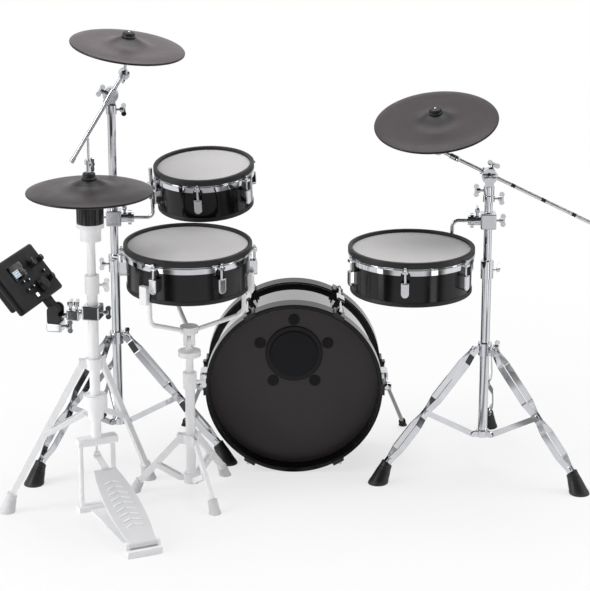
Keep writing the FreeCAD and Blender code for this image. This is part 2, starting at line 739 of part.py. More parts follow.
def kick_place():
    return frame(UP * (KICK_HOOP_DIAMETER / 2), -BACK, RIGHT)


def kick_shell():
    outer = KICK_SHELL_DIAMETER / 2
    inner = outer - KICK_SHELL_WALL
    front = -KICK_HOOP_WIDTH - SEAT_GAP - KICK_FILM
    rear = -KICK_DEPTH - front
    return [ring([(inner, front), (outer, front), (outer, rear), (inner, rear)])]


def kick_hoop():
    outer = KICK_HOOP_DIAMETER / 2
    inner = outer - KICK_HOOP_WALL
    hoop = ring([(inner, 0), (outer, 0), (outer, -KICK_HOOP_WIDTH), (inner, -KICK_HOOP_WIDTH)])
    front_edges = [edge for edge in hoop.Edges if edge.BoundBox.ZMin > -SEAT_GAP]
    return hoop.makeFillet(KICK_HOOP_ROUND, front_edges)


def far_side(shape):
    """The same piece on the drum's other end."""
    turn = FreeCAD.Placement(V(0, 0, -KICK_DEPTH), FreeCAD.Rotation(BACK, HALF_TURN))
    return placed(shape, turn)


def kick_head():
    shell = KICK_SHELL_DIAMETER / 2
    front = -KICK_HOOP_WIDTH - SEAT_GAP
    flesh = shell + SEAT_GAP + KICK_FLESH_WIDTH
    return ring([
        (0, front), (flesh, front), (flesh, front - KICK_FLESH_DEPTH),
        (shell + SEAT_GAP, front - KICK_FLESH_DEPTH), (shell + SEAT_GAP, front - KICK_FILM), (0, front - KICK_FILM)])


def kick_sensor_pad():
    """Beater pad, the ring around it and five round cushions, all against the batter head."""
    front = -KICK_HOOP_WIDTH - SEAT_GAP
    centre = V(0, KICK_PAD_ABOVE_AXIS, front)
    pad_radius = KICK_PAD_DIAMETER / 2
    pieces = [rod(pad_radius, centre, centre + UP * KICK_PAD_THICKNESS)]
    pieces.append(pipe(KICK_RING_DIAMETER / 2, pad_radius + SEAT_GAP, centre, centre + UP * KICK_RING_THICKNESS))
    for step in range(KICK_DOT_COUNT):
        spot = centre + flat_direction(FULL_TURN / 4 + FULL_TURN * step / KICK_DOT_COUNT) * KICK_DOT_RADIUS
        pieces.append(rod(KICK_DOT_DIAMETER / 2, spot, spot + UP * KICK_DOT_THICKNESS))
    return pieces


def kick_angles():
    return [FULL_TURN * step / KICK_LUG_COUNT for step in range(KICK_LUG_COUNT)]


def kick_rod_radius():
    return KICK_HOOP_DIAMETER / 2 + KICK_ROD_STANDOFF


def kick_claw():
    """Hook over the hoop's edge, with a boss that the tension rod passes through."""
    outer = KICK_HOOP_DIAMETER / 2
    low = outer + RUN_GAP
    high = low + CLAW_WALL
    lip_low = outer - CLAW_LIP
    front = CLAW_LIP_WALL + SEAT_GAP
    plate = block(CLAW_WALL, CLAW_WIDTH, KICK_HOOP_WIDTH + front,
                  V((low + high) / 2, 0, (front - KICK_HOOP_WIDTH) / 2))
    lip = block(high - lip_low, CLAW_WIDTH, CLAW_LIP_WALL, V((high + lip_low) / 2, 0, SEAT_GAP + CLAW_LIP_WALL / 2))
    boss_centre = V(low + CLAW_BOSS_HEIGHT / 2, 0, -KICK_HOOP_WIDTH + CLAW_BOSS_LENGTH / 2)
    boss = block(CLAW_BOSS_HEIGHT, CLAW_WIDTH / 2, CLAW_BOSS_LENGTH, boss_centre)
    axis = V(kick_rod_radius(), 0, 0)
    hole = rod(KICK_ROD_RADIUS + PIN_GAP, axis - UP * KICK_DEPTH, axis + UP * front)
    seat = axis - UP * (KICK_HOOP_WIDTH - CLAW_BOSS_LENGTH)
    pocket = rod(KICK_ROD_HEAD_RADIUS + SEAT_GAP, seat, seat + UP * KICK_DEPTH)
    return joined([plate, lip, boss]).cut([hole, pocket])


def kick_tension_rod():
    axis = V(kick_rod_radius(), 0, 0)
    seat = axis - UP * (KICK_HOOP_WIDTH - CLAW_BOSS_LENGTH)
    lug_end = axis - UP * (KICK_DEPTH - KICK_LUG_LENGTH) * 0.5
    stud = rod(KICK_ROD_RADIUS, lug_end, seat)
    return joined([stud, rod(KICK_ROD_HEAD_RADIUS, seat, seat + UP * KICK_ROD_HEAD_LENGTH)])


def kick_lug():
    back = KICK_SHELL_DIAMETER / 2 + SEAT_GAP
    front = kick_rod_radius() + KICK_LUG_WALL
    lug = block(front - back, KICK_LUG_WIDTH, KICK_LUG_LENGTH, V((front + back) / 2, 0, -KICK_DEPTH / 2))
    face_edges = [edge for edge in lug.Edges if edge.BoundBox.XMin > front - SEAT_GAP]
    return lug.makeFillet(KICK_LUG_ROUND, face_edges)


def spur_angle(side):
    return -SPUR_DROP_ANGLE if side > 0 else HALF_TURN + SPUR_DROP_ANGLE


def spur_pivot(side):
    """Middle of the spur's eye, in the kit's frame."""
    reach = KICK_SHELL_DIAMETER / 2 + SEAT_GAP + SPUR_BLOCK_HEIGHT + SEAT_GAP + SPUR_EYE_WIDTH / 2
    height = KICK_HOOP_DIAMETER / 2 - (KICK_SHELL_DIAMETER / 2) * math.sin(math.radians(SPUR_DROP_ANGLE))
    flat = (KICK_SHELL_DIAMETER / 2) * math.cos(math.radians(SPUR_DROP_ANGLE)) - KICK_SHELL_DIAMETER / 2
    return V(side * (reach + flat), SPUR_DEPTH, height)


def spur_block(side):
    """Bracket on the kick shell, with the pin that the spur turns on."""
    pivot = spur_pivot(side)
    inward = RIGHT * (-side)
    face = pivot + inward * (SPUR_EYE_WIDTH / 2 + SEAT_GAP)
    body = soft_block(SPUR_BLOCK_HEIGHT, SPUR_BLOCK_WIDTH, SPUR_BLOCK_WIDTH,
                      face + inward * (SPUR_BLOCK_HEIGHT / 2), SPUR_BLOCK_ROUND)
    pin = rod(SPUR_PIN_RADIUS, face + inward * SPUR_BLOCK_ROUND, pivot - inward * (SPUR_EYE_WIDTH / 2 + SEAT_GAP))
    start = pivot - inward * (SPUR_EYE_WIDTH / 2 + SEAT_GAP)
    head = rod(SPUR_EYE_RADIUS * 0.8, start, start - inward * SPUR_PIN_RADIUS)
    shell = rod(KICK_SHELL_DIAMETER / 2 + SEAT_GAP, UP * (KICK_HOOP_DIAMETER / 2),
                V(0, KICK_DEPTH, KICK_HOOP_DIAMETER / 2))
    return joined([body, pin, head]).cut(shell)


def spur(side):
    """Eye on the bracket's pin, rod and rubber tip cut flat by the floor."""
    pivot = spur_pivot(side)
    half = RIGHT * (SPUR_EYE_WIDTH / 2)
    foot = V(pivot.x + side * SPUR_SPREAD, pivot.y + SPUR_FORWARD, 0)
    along = (foot - pivot).normalize()
    tip_top = foot - along * SPUR_TIP_LENGTH
    hole = rod(SPUR_PIN_RADIUS + PIN_GAP, pivot - half * 2, pivot + half * 2)
    shaft = joined([rod(SPUR_EYE_RADIUS, pivot - half, pivot + half), rod(SPUR_ROD_RADIUS, pivot, tip_top)])
    outward = half * side
    shaft = shaft.cut(rod(SPUR_EYE_RADIUS * 2, pivot - outward * 4, pivot - outward))
    shaft = shaft.cut(rod(SPUR_EYE_RADIUS, pivot + outward, pivot + outward * 4))
    tip = rubber_boot(tip_top, foot, SPUR_TIP_TOP_RADIUS, SPUR_TIP_RADIUS)
    return [shaft.cut(hole), tip]


def kick_pieces():
    place = kick_place()
    lugs = []
    claws = []
    for angle in kick_angles():
        lugs.append(turned(kick_lug(), angle))
        lugs += [turned(kick_tension_rod(), angle), far_side(turned(kick_tension_rod(), angle))]
        claws += [turned(kick_claw(), angle), far_side(turned(kick_claw(), angle))]
    groups = {
        "kick_shell": kick_shell(), "kick_hoops": [kick_hoop(), far_side(kick_hoop())],
        "kick_batter_head": [kick_head()], "kick_front_head": [far_side(kick_head())],
        "kick_sensor_pad": kick_sensor_pad(), "kick_claws": claws, "kick_lugs": lugs}
    pieces = {name: [placed(shape, place) for shape in shapes] for name, shapes in groups.items()}
    pieces["kick_lugs"] += [spur_block(-1), spur_block(1)]
    pieces["kick_spur_left"] = spur(-1)
    pieces["kick_spur_right"] = spur(1)
    return pieces


# Chrome stands: tripod, built in the plane of one leg with X outwards and Y across

def leg_tip():
    return V(FOOT_RADIUS, 0, 0)


def leg_pivot():
    return V(LEG_PIVOT_RADIUS, 0, LEG_PIVOT_Z)


def leg_direction():
    return (leg_tip() - leg_pivot()).normalize()


def strut_pivot():
    return V(STRUT_PIVOT_RADIUS, 0, STRUT_PIVOT_Z)


def strut_end():
    return leg_pivot() + leg_direction() * STRUT_ON_LEG


def leg_spread():
    """Half distances between the middles of a leg's two strips, at its head, bulge, waist and foot."""
    half = LEG_STRIP_THICKNESS / 2
    head = COLLAR_LUG_THICKNESS / 2 + RUN_GAP + half
    waist = STRUT_THICKNESS / 2 + RUN_GAP * 3 + half
    return head, LEG_BULGE, waist, LEG_FOOT_SPREAD


def leg_pieces():
    """Two bowed strips riveted together, and the rubber boot on their lower end."""
    length = (leg_tip() - leg_pivot()).Length - BOOT_LENGTH
    head, bulge, waist, foot = leg_spread()
    stations = [
        (-LEG_HEAD, head), (LEG_NECK, head), (LEG_NECK + LEG_SLOPE, bulge),
        (STRUT_ON_LEG - LEG_NECK - LEG_SLOPE, bulge), (STRUT_ON_LEG - LEG_NECK, waist),
        (STRUT_ON_LEG + LEG_NECK, waist), (STRUT_ON_LEG + LEG_NECK + LEG_SLOPE, bulge),
        (length - LEG_NECK - LEG_SLOPE, bulge), (length - LEG_NECK, foot), (length, foot)]
    shapes = []
    for side in (-1, 1):
        path = [V(distance, side * spread, 0) for distance, spread in stations]
        half = V(0, LEG_STRIP_THICKNESS / 2, 0)
        wide = V(0, 0, LEG_STRIP_WIDTH / 2)
        corners = [path[0] - half - wide, path[0] + half - wide, path[0] + half + wide, path[0] - half + wide]
        section = Part.makePolygon(corners + corners[:1])
        shapes.append(bent_path(path, LEG_BEND).makePipeShell([section], True, False))
        shapes.append(rivet(0, side, head))
        shapes.append(rivet(STRUT_ON_LEG, side, waist))
        shapes.append(rivet(length - LEG_NECK / 2, side, foot))
    shapes.append(rod(LEG_PIN_RADIUS, V(0, -head, 0), V(0, head, 0)))
    shapes.append(block(LEG_NECK, 2 * foot, LEG_STRIP_WIDTH / 2, V(length - LEG_NECK / 2, 0, 0)))
    place = frame(leg_pivot(), leg_normal(), leg_direction())
    boot = rubber_boot(leg_tip() - leg_direction() * BOOT_LENGTH, leg_tip(), BOOT_TOP_RADIUS, BOOT_BOTTOM_RADIUS)
    return [placed(joined(shapes), place), boot]


def leg_normal():
    return leg_direction().cross(BACK)


def rivet(distance, side, spread):
    face = V(distance, side * (spread + LEG_STRIP_THICKNESS / 2), 0)
    return rod(LEG_PIN_HEAD_RADIUS, face - BACK * side * LEG_STRIP_THICKNESS / 2, face + BACK * side * LEG_PIN_HEAD)


def strut_shape():
    """Flat bar from the spider's pin to the waist of the leg."""
    start = strut_pivot()
    end = strut_end()
    across = BACK * (STRUT_THICKNESS / 2)
    shapes = [flat_bar(start, end, STRUT_WIDTH, STRUT_THICKNESS, BACK)]
    for spot in (start, end):
        shapes.append(rod(STRUT_WIDTH / 2, spot - across, spot + across))
    hole = rod(STRUT_PIN_RADIUS + PIN_GAP, start - across * 2, start + across * 2)
    return joined(shapes).cut(hole)


def stand_base(stand):
    return V(stand["x"], stand["y"], 0)


def leg_angles(stand):
    return [stand["leg_angle"] + FULL_TURN * step / LEG_COUNT for step in range(LEG_COUNT)]


def collar_lug():
    across = BACK * (COLLAR_LUG_THICKNESS / 2)
    pivot = leg_pivot()
    inner = COLUMN_RADIUS + RUN_GAP + LEG_STRIP_THICKNESS
    plate = block(pivot.x - inner, COLLAR_LUG_THICKNESS, COLLAR_LUG_RADIUS * 2,
                  V((pivot.x + inner) / 2, 0, pivot.z))
    return joined([plate, rod(COLLAR_LUG_RADIUS, pivot - across, pivot + across)])


def leg_collar(stand):
    """Sliding collar with a lug for each leg, and its wing bolt."""
    low = UP * (LEG_PIVOT_Z - COLLAR_HEIGHT / 2)
    high = low + UP * COLLAR_HEIGHT
    hole_half = BACK * COLLAR_LUG_THICKNESS
    lug_hole = rod(LEG_PIN_RADIUS + PIN_GAP, leg_pivot() - hole_half, leg_pivot() + hole_half)
    place = upright(stand_base(stand))
    shapes = [rod(COLLAR_RADIUS, low, high)] + [turned(collar_lug(), angle) for angle in leg_angles(stand)]
    collar = joined(shapes).cut(rod(COLUMN_RADIUS + RUN_GAP, low - UP * CUT_OVERRUN, high + UP * CUT_OVERRUN))
    collar = collar.cut([turned(lug_hole, angle) for angle in leg_angles(stand)])
    out = flat_direction(stand["leg_angle"] - FULL_TURN / LEG_COUNT / 2)
    bolt = wing_bolt(out * COLLAR_RADIUS + UP * LEG_PIVOT_Z, out, UP)
    return [placed(collar, place), placed(bolt, place)]


def spider(stand):
    """Ring at the foot of the tube, with a pair of ears and a pin for each strut."""
    low = UP * (STRUT_PIVOT_Z - SPIDER_HEIGHT / 2)
    high = low + UP * SPIDER_HEIGHT
    pivot = strut_pivot()
    gap = STRUT_THICKNESS / 2 + RUN_GAP
    shapes = []
    for side in (-1, 1):
        inner_face = BACK * (side * gap)
        outer_face = BACK * (side * (gap + SPIDER_EAR_THICKNESS))
        shapes.append(rod(SPIDER_EAR_RADIUS, pivot + inner_face, pivot + outer_face))
        middle = (inner_face + outer_face) * 0.5
        shapes.append(block(pivot.x - COLUMN_RADIUS, SPIDER_EAR_THICKNESS, SPIDER_EAR_RADIUS * 2,
                            V((pivot.x + COLUMN_RADIUS) / 2, 0, pivot.z) + middle))
    reach = BACK * (gap + SPIDER_EAR_THICKNESS)
    shapes.append(rod(STRUT_PIN_RADIUS, pivot - reach, pivot + reach))
    parts = [rod(SPIDER_RADIUS, low, high)]
    for angle in leg_angles(stand):
        parts += [turned(shape, angle) for shape in shapes]
    bore = rod(COLUMN_RADIUS + SEAT_GAP, low - UP * CUT_OVERRUN, high + UP * CUT_OVERRUN)
    return joined(parts).cut(bore)


def column(stand):
    """Lower tube with its spider, and the clamp sleeve at its top."""
    top = stand["column_top"]
    tube = pipe(COLUMN_RADIUS, COLUMN_RADIUS - COLUMN_WALL, UP * COLUMN_FOOT_Z, UP * top)
    lip = top + SLEEVE_LIP
    sleeve = ring([
        (COLUMN_RADIUS + SEAT_GAP, top - SLEEVE_LENGTH), (SLEEVE_RADIUS, top - SLEEVE_LENGTH),
        (SLEEVE_RADIUS, lip), (UPPER_RADIUS + RUN_GAP, lip), (UPPER_RADIUS + RUN_GAP, top + SEAT_GAP),
        (COLUMN_RADIUS + SEAT_GAP, top + SEAT_GAP)])
    out = flat_direction(stand["clamp_angle"])
    bolt = wing_bolt(out * SLEEVE_RADIUS + UP * (top - SLEEVE_LENGTH / 2), out, UP)
    place = upright(stand_base(stand))
    return [placed(shape, place) for shape in (tube, sleeve, bolt, spider(stand))]


# Chrome stands: upper tube, boom and cymbal

def boom_direction(stand):
    angle = math.radians(stand["boom_angle"])
    return V(math.cos(angle), 0, math.sin(angle))


def boom_offset():
    return RUN_GAP + CHEEK_THICKNESS + BARREL_RADIUS - BOLT_RADIUS / 2


def boom_pivot(stand):
    """Where the boom rod's axis passes the tilter's axis."""
    return V(stand["x"], stand["y"] + stand["boom_side"] * boom_offset(), stand["pivot_z"])


def upper_tube(stand):
    """Upper tube with the fixed cheek of the boom tilter, its pin and its wing bolt."""
    base = stand_base(stand)
    side = BACK * stand["boom_side"]
    top = base + UP * stand["tube_top"]
    tube = pipe(UPPER_RADIUS, UPPER_RADIUS - UPPER_WALL, base + UP * (stand["column_top"] - UPPER_OVERLAP), top)
    pivot = base + UP * stand["pivot_z"]
    cheek = rod(CHEEK_RADIUS, pivot - side * CHEEK_THICKNESS, pivot)
    neck_height = stand["pivot_z"] - stand["tube_top"]
    neck = block(TILTER_NECK_WIDTH, CHEEK_THICKNESS, neck_height,
                 top - side * (CHEEK_THICKNESS / 2) + UP * (neck_height / 2))
    socket = rod(TILTER_SOCKET_RADIUS, top - UP * TILTER_SOCKET_LENGTH / 2, top + UP * TILTER_SOCKET_LENGTH / 2)
    socket = socket.cut(rod(UPPER_RADIUS, top - UP * TILTER_SOCKET_LENGTH, top))
    pin = rod(TILTER_PIN_RADIUS, pivot - side * CHEEK_THICKNESS, pivot + side * (CHEEK_THICKNESS - BOLT_RADIUS))
    upper = joined([tube, socket, neck, cheek, pin])
    bolt = wing_bolt(pivot - side * CHEEK_THICKNESS, -side, RIGHT)
    reach = RIGHT * stand["tom_side"]
    lock = wing_bolt(top + reach * TILTER_SOCKET_RADIUS, reach, UP)
    pieces = [upper, bolt, lock]
    if stand is RIGHT_STAND:
        low = base + UP * STOP_COLLAR_Z
        pieces.append(pipe(STOP_COLLAR_RADIUS, UPPER_RADIUS + SEAT_GAP, low, low + UP * STOP_COLLAR_HEIGHT))
        pieces.append(wing_bolt(low + RIGHT * STOP_COLLAR_RADIUS + UP * STOP_COLLAR_HEIGHT / 2, RIGHT, UP))
    return pieces


def turning_cheek(stand):
    """Turning cheek of the boom tilter, about the tilter's axis, before the barrel is bored."""
    side = BACK * stand["boom_side"]
    return rod(CHEEK_RADIUS, side * RUN_GAP, side * (RUN_GAP + CHEEK_THICKNESS))


def boom_tilter(stand):
    """Turning cheek with the barrel that the boom rod slides in, and the barrel's wing bolt."""
    side = BACK * stand["boom_side"]
    axis = V(stand["x"], stand["y"], stand["pivot_z"])
    pivot = boom_pivot(stand)
    along = boom_direction(stand)
    half = along * (BARREL_LENGTH / 2)
    cheek = turning_cheek(stand).translated(axis)
    barrel = rod(BARREL_RADIUS, pivot - half, pivot + half)
    web = flat_bar(axis + side * (RUN_GAP + CHEEK_THICKNESS / 2), pivot, CHEEK_RADIUS, CHEEK_RADIUS, along)
    body = joined([cheek, web, barrel])
    body = body.cut(rod(BOOM_ROD_RADIUS + PIN_GAP, pivot - half * 2, pivot + half * 2))
    hole = rod(TILTER_PIN_RADIUS + PIN_GAP, axis, axis + side * CHEEK_THICKNESS)
    square = along.cross(BACK)
    out = square if square.x * stand["tom_side"] < 0 else -square
    bolt = wing_bolt(pivot + out * BARREL_RADIUS, out, along)
    return [body.cut(hole), bolt]


def cymbal_normal(stand):
    return leaning(stand["lean_right"], stand["lean_front"])


def tilt_axis(stand):
    """Axis of the cymbal tilter, square to the boom and to the cymbal's post."""
    return boom_direction(stand).cross(cymbal_normal(stand)).normalize()


def tilt_centre(stand):
    return boom_pivot(stand) + boom_direction(stand) * stand["boom_high"]


def post_foot(stand):
    return tilt_centre(stand) + tilt_axis(stand) * (CYMBAL_CHEEK_THICKNESS + RUN_GAP)


def cymbal_place(stand):
    normal = cymbal_normal(stand)
    return frame(post_foot(stand) + normal * stand["post"], normal, RIGHT)


def boom_rod(stand):
    """Boom rod with its end cap, and the fixed cheek, pin and nut of the cymbal tilter."""
    along = boom_direction(stand)
    low = boom_pivot(stand) - along * stand["boom_low"]
    high = tilt_centre(stand)
    axis = tilt_axis(stand)
    shaft = rod(BOOM_ROD_RADIUS, low, high)
    groove = pipe(BOOM_ROD_RADIUS * 2, BOOM_ROD_RADIUS - BOOM_MARK_DEPTH, ORIGIN, UP * BOOM_MARK_WIDTH)
    for step in range(stand["mark_count"]):
        spot = low + along * (stand["mark_spacing"] * (step + 1))
        shaft = shaft.cut(placed(groove, frame(spot, along, BACK)))
    cap = rod(BOOM_CAP_RADIUS, low - along * BOOM_CAP_LENGTH, low)
    half = axis * (CYMBAL_CHEEK_THICKNESS / 2)
    cheek = rod(CYMBAL_CHEEK_RADIUS, high - half, high + half)
    nut_face = high + half + axis * (CYMBAL_CHEEK_THICKNESS + 2 * RUN_GAP)
    pin = rod(CYMBAL_PIN_RADIUS, high, nut_face + axis * BOLT_RADIUS)
    nut = wing_bolt(nut_face, axis, along)
    return [joined([shaft, cheek, pin, nut]), cap]


def cymbal_tilter(stand):
    """Turning cheek with the post and the seat that the cymbal rests on."""
    axis = tilt_axis(stand)
    normal = cymbal_normal(stand)
    foot = post_foot(stand)
    half = axis * (CYMBAL_CHEEK_THICKNESS / 2)
    centre = tilt_centre(stand)
    cheek = rod(CYMBAL_CHEEK_RADIUS, foot - half, foot + half)
    bell = PAD_BOW_HEIGHT + PAD_BELL_HEIGHT
    post = rod(POST_RADIUS, foot, foot + normal * (stand["post"] + bell + POST_ABOVE_BELL))
    cone_drop = (POST_SEAT_RADIUS - POST_RADIUS) * math.tan(math.radians(PAD_SWING_ANGLE * 2))
    seat_top = bell - PAD_THICKNESS - PAD_SEAT_GAP
    seat = ring([
        (0, seat_top), (POST_RADIUS, seat_top), (POST_SEAT_RADIUS, seat_top - cone_drop),
        (POST_SEAT_RADIUS, seat_top - POST_SEAT_HEIGHT), (0, seat_top - POST_SEAT_HEIGHT)])
    body = joined([cheek, post, placed(seat, cymbal_place(stand))])
    return [body.cut(rod(CYMBAL_PIN_RADIUS + PIN_GAP, centre, foot + half * 2))]


def cymbal_pad(diameter, bow, bell, hole_radius):
    """Rubber cymbal with a bell, the top of its edge at height zero."""
    edge = diameter / 2
    top = [
        V(hole_radius, 0, bow + bell), V(PAD_CROWN_RADIUS, 0, bow + bell),
        V((PAD_CROWN_RADIUS + PAD_BELL_RADIUS) / 2, 0, bow + bell * 0.6),
        V(PAD_BELL_RADIUS, 0, bow), V((PAD_BELL_RADIUS + edge) / 2, 0, bow * 0.55), V(edge - PAD_EDGE_ROUND, 0, 0)]
    drop = V(0, 0, -PAD_THICKNESS)
    bottom = [spot + drop for spot in top]
    rim = V(edge, 0, -PAD_THICKNESS / 2)
    sides = [
        smooth_edge(top[1:]), Part.LineSegment(top[0], top[1]).toShape(),
        Part.Arc(top[-1], rim, bottom[-1]).toShape(), smooth_edge(bottom[1:]),
        Part.LineSegment(bottom[0], bottom[1]).toShape(), Part.LineSegment(top[0], bottom[0]).toShape()]
    outline = Part.Wire(Part.__sortEdges__(sides))
    return Part.Face(outline).revolve(ORIGIN, UP, FULL_TURN)


def smooth_edge(points):
    curve = Part.BSplineCurve()
    curve.interpolate(points)
    return curve.toShape()


def pad_cap(bell_top, height, bore, depth):
    """Screw cap over the end of the post, closed on top."""
    cap = rod(CAP_RADIUS, UP * bell_top, UP * (bell_top + height))
    top_edges = [edge for edge in cap.Edges if edge.BoundBox.ZMin > bell_top + height / 2]
    return cap.makeFillet(CAP_ROUND, top_edges).cut(rod(bore, UP * (bell_top - CUT_OVERRUN), UP * (bell_top + depth)))


def stand_cymbal(stand):
    bell_top = PAD_BOW_HEIGHT + PAD_BELL_HEIGHT
    pad = cymbal_pad(stand["cymbal_diameter"], PAD_BOW_HEIGHT, PAD_BELL_HEIGHT, PAD_HOLE_RADIUS)
    cap = pad_cap(bell_top, CAP_HEIGHT, PAD_HOLE_RADIUS, CAP_HEIGHT - CAP_ROOF)
    place = cymbal_place(stand)
    return [placed(pad, place), placed(cap, place)]


def tom_mount(stand, rod_end):
    """Clamp on the upper tube, and the L-rod in its holder that carries the drum."""
    base = stand_base(stand)
    centre = base + UP * stand["tom_clamp_z"]
    toward = RIGHT * stand["tom_side"]
    body = soft_block(CLAMP_WIDTH, CLAMP_DEPTH, CLAMP_HEIGHT, centre, CLAMP_ROUND)
    face = centre + toward * (CLAMP_WIDTH / 2)
    tip = face + toward * HOLDER_LENGTH
    holder = rod(HOLDER_RADIUS, face - toward * CLAMP_ROUND, tip)
    ratchet_end = tip - toward * HOLDER_RADIUS / 2
    ratchet = rod(RATCHET_RADIUS, ratchet_end - toward * RATCHET_THICKNESS, ratchet_end)
    clamp = joined([body, holder, ratchet])
    clamp = clamp.cut(rod(UPPER_RADIUS + SEAT_GAP, centre - UP * CLAMP_HEIGHT, centre + UP * CLAMP_HEIGHT))
    clamp = clamp.cut(rod(L_ROD_RADIUS + SEAT_GAP, face, tip + toward * CUT_OVERRUN))
    corner = rod_corner(stand)
    l_rod = bent_rod([face + toward * SEAT_GAP, corner, rod_end], L_ROD_BEND, L_ROD_RADIUS)
    tube_bolt = wing_bolt(centre - toward * (CLAMP_WIDTH / 2), -toward, UP)
    rod_bolt = wing_bolt(face + toward * HOLDER_LENGTH / 4 + UP * HOLDER_RADIUS, UP, BACK)
    return [clamp, l_rod, tube_bolt, rod_bolt]


def tom_rod_end():
    """Top of the tom's rod, level with the rim."""
    along = leaning(TOM_LEAN_RIGHT_ANGLE, TOM_LEAN_FRONT_ANGLE)
    return rod_corner(LEFT) + along * TOM_CORNER_BELOW_RIM


def floor_tom_rod_end():
    """Foot of the floor tom's rod, a little below its bracket."""
    below = FLOOR_TOM_CORNER_ABOVE_RIM + BRACKET_DROP + BRACKET_HEIGHT + FLOOR_TOM_ROD_TAIL
    return rod_corner(RIGHT_STAND) - UP * below


def stand_pieces(stand, rod_end):
    name = stand["name"]
    pieces = {
        name + "_column": column(stand), name + "_leg_collar": leg_collar(stand),
        name + "_upper_tube": upper_tube(stand), name + "_boom_tilter": boom_tilter(stand),
        name + "_boom_rod": boom_rod(stand), name + "_cymbal_tilter": cymbal_tilter(stand),
        stand["cymbal"]: stand_cymbal(stand), name + "_tom_mount": tom_mount(stand, rod_end)}
    for letter, angle in zip("abc", leg_angles(stand)):
        place = upright(stand_base(stand), angle)
        pieces[name + "_leg_" + letter] = [placed(shape, place) for shape in leg_pieces()]
        pieces[name + "_strut_" + letter] = [placed(strut_shape(), place)]
    return pieces


# Hi-hat, built about its own upright axis

def small_leg(pivot, tip, boot_length, boot_radii, bar_width, bar_thickness):
    """Straight leg bar with a rubber boot, in the plane of the leg."""
    top = tip + (pivot - tip).normalize() * boot_length
    return [flat_bar(pivot, top, bar_width, bar_thickness, BACK), rubber_boot(top, tip, *boot_radii)]


def hihat_legs():
    pivot = V(HIHAT_LEG_TOP_RADIUS, 0, HIHAT_COLLAR_Z)
    tip = V(HIHAT_FOOT_RADIUS, 0, 0)
    radii = (HIHAT_BOOT_TOP_RADIUS, HIHAT_BOOT_BOTTOM_RADIUS)
    leg = small_leg(pivot, tip, HIHAT_BOOT_LENGTH, radii, HIHAT_BAR_WIDTH, HIHAT_BAR_THICKNESS)
    meeting = pivot + (tip - pivot).normalize() * HIHAT_STRUT_ON_LEG
    foot = V(HIHAT_STRUT_RADIUS, 0, HIHAT_BOSS_Z - HIHAT_STRUT_WIDTH)
    beside = BACK * (HIHAT_BAR_THICKNESS / 2 + HIHAT_STRUT_THICKNESS / 2)
    struts = [flat_bar(foot + beside * side, meeting + beside * side, HIHAT_STRUT_WIDTH, HIHAT_STRUT_THICKNESS, BACK)
              for side in (-1, 1)]
    pieces = []
    for angle in HIHAT_LEG_ANGLES:
        pieces += [turned(shape, angle) for shape in leg + struts]
    return pieces


def hihat_collars():
    """Leg collar with its lugs, and the boss below it that the struts are pinned to."""
    tube = HIHAT_TUBE_RADIUS + SEAT_GAP
    low = UP * (HIHAT_COLLAR_Z - HIHAT_COLLAR_HEIGHT / 2)
    collar = pipe(HIHAT_COLLAR_RADIUS, tube, low, low + UP * HIHAT_COLLAR_HEIGHT)
    boss_low = UP * (HIHAT_BOSS_Z - HIHAT_STRUT_WIDTH * 2)
    boss = ring([
        (tube, HIHAT_BOSS_Z - HIHAT_STRUT_WIDTH * 2), (HIHAT_COLLAR_RADIUS, HIHAT_BOSS_Z - HIHAT_STRUT_WIDTH * 2),
        (HIHAT_COLLAR_RADIUS, HIHAT_BOSS_Z), (HIHAT_BOSS_RADIUS, HIHAT_BOSS_Z),
        (HIHAT_BOSS_RADIUS, HIHAT_BOSS_Z + HIHAT_BOSS_HEIGHT), (tube, HIHAT_BOSS_Z + HIHAT_BOSS_HEIGHT)])
    lug_start = HIHAT_TUBE_RADIUS + HIHAT_TUBE_WALL
    lug_end = HIHAT_STRUT_RADIUS + HIHAT_STRUT_WIDTH / 2
    strut_lug = block(lug_end - lug_start, HIHAT_BAR_THICKNESS, HIHAT_STRUT_WIDTH,
                      V((lug_end + lug_start) / 2, 0, HIHAT_BOSS_Z - HIHAT_STRUT_WIDTH))
    leg_side = HIHAT_BAR_THICKNESS / 2 + HIHAT_STRUT_THICKNESS / 2
    leg_lugs = [block(HIHAT_LEG_TOP_RADIUS + HIHAT_BAR_WIDTH / 2 - lug_start, HIHAT_STRUT_THICKNESS,
                      HIHAT_COLLAR_HEIGHT * 0.8,
                      V((HIHAT_LEG_TOP_RADIUS + HIHAT_BAR_WIDTH / 2 + lug_start) / 2, side * leg_side, HIHAT_COLLAR_Z))
                for side in (-1, 1)]
    bore = rod(tube, boss_low - UP * CUT_OVERRUN, UP * HIHAT_TUBE_TOP)
    collar = joined([collar] + [turned(lug, angle) for angle in HIHAT_LEG_ANGLES for lug in leg_lugs]).cut(bore)
    boss = joined([boss] + [turned(strut_lug, angle) for angle in HIHAT_LEG_ANGLES]).cut(bore)
    return [collar, boss]


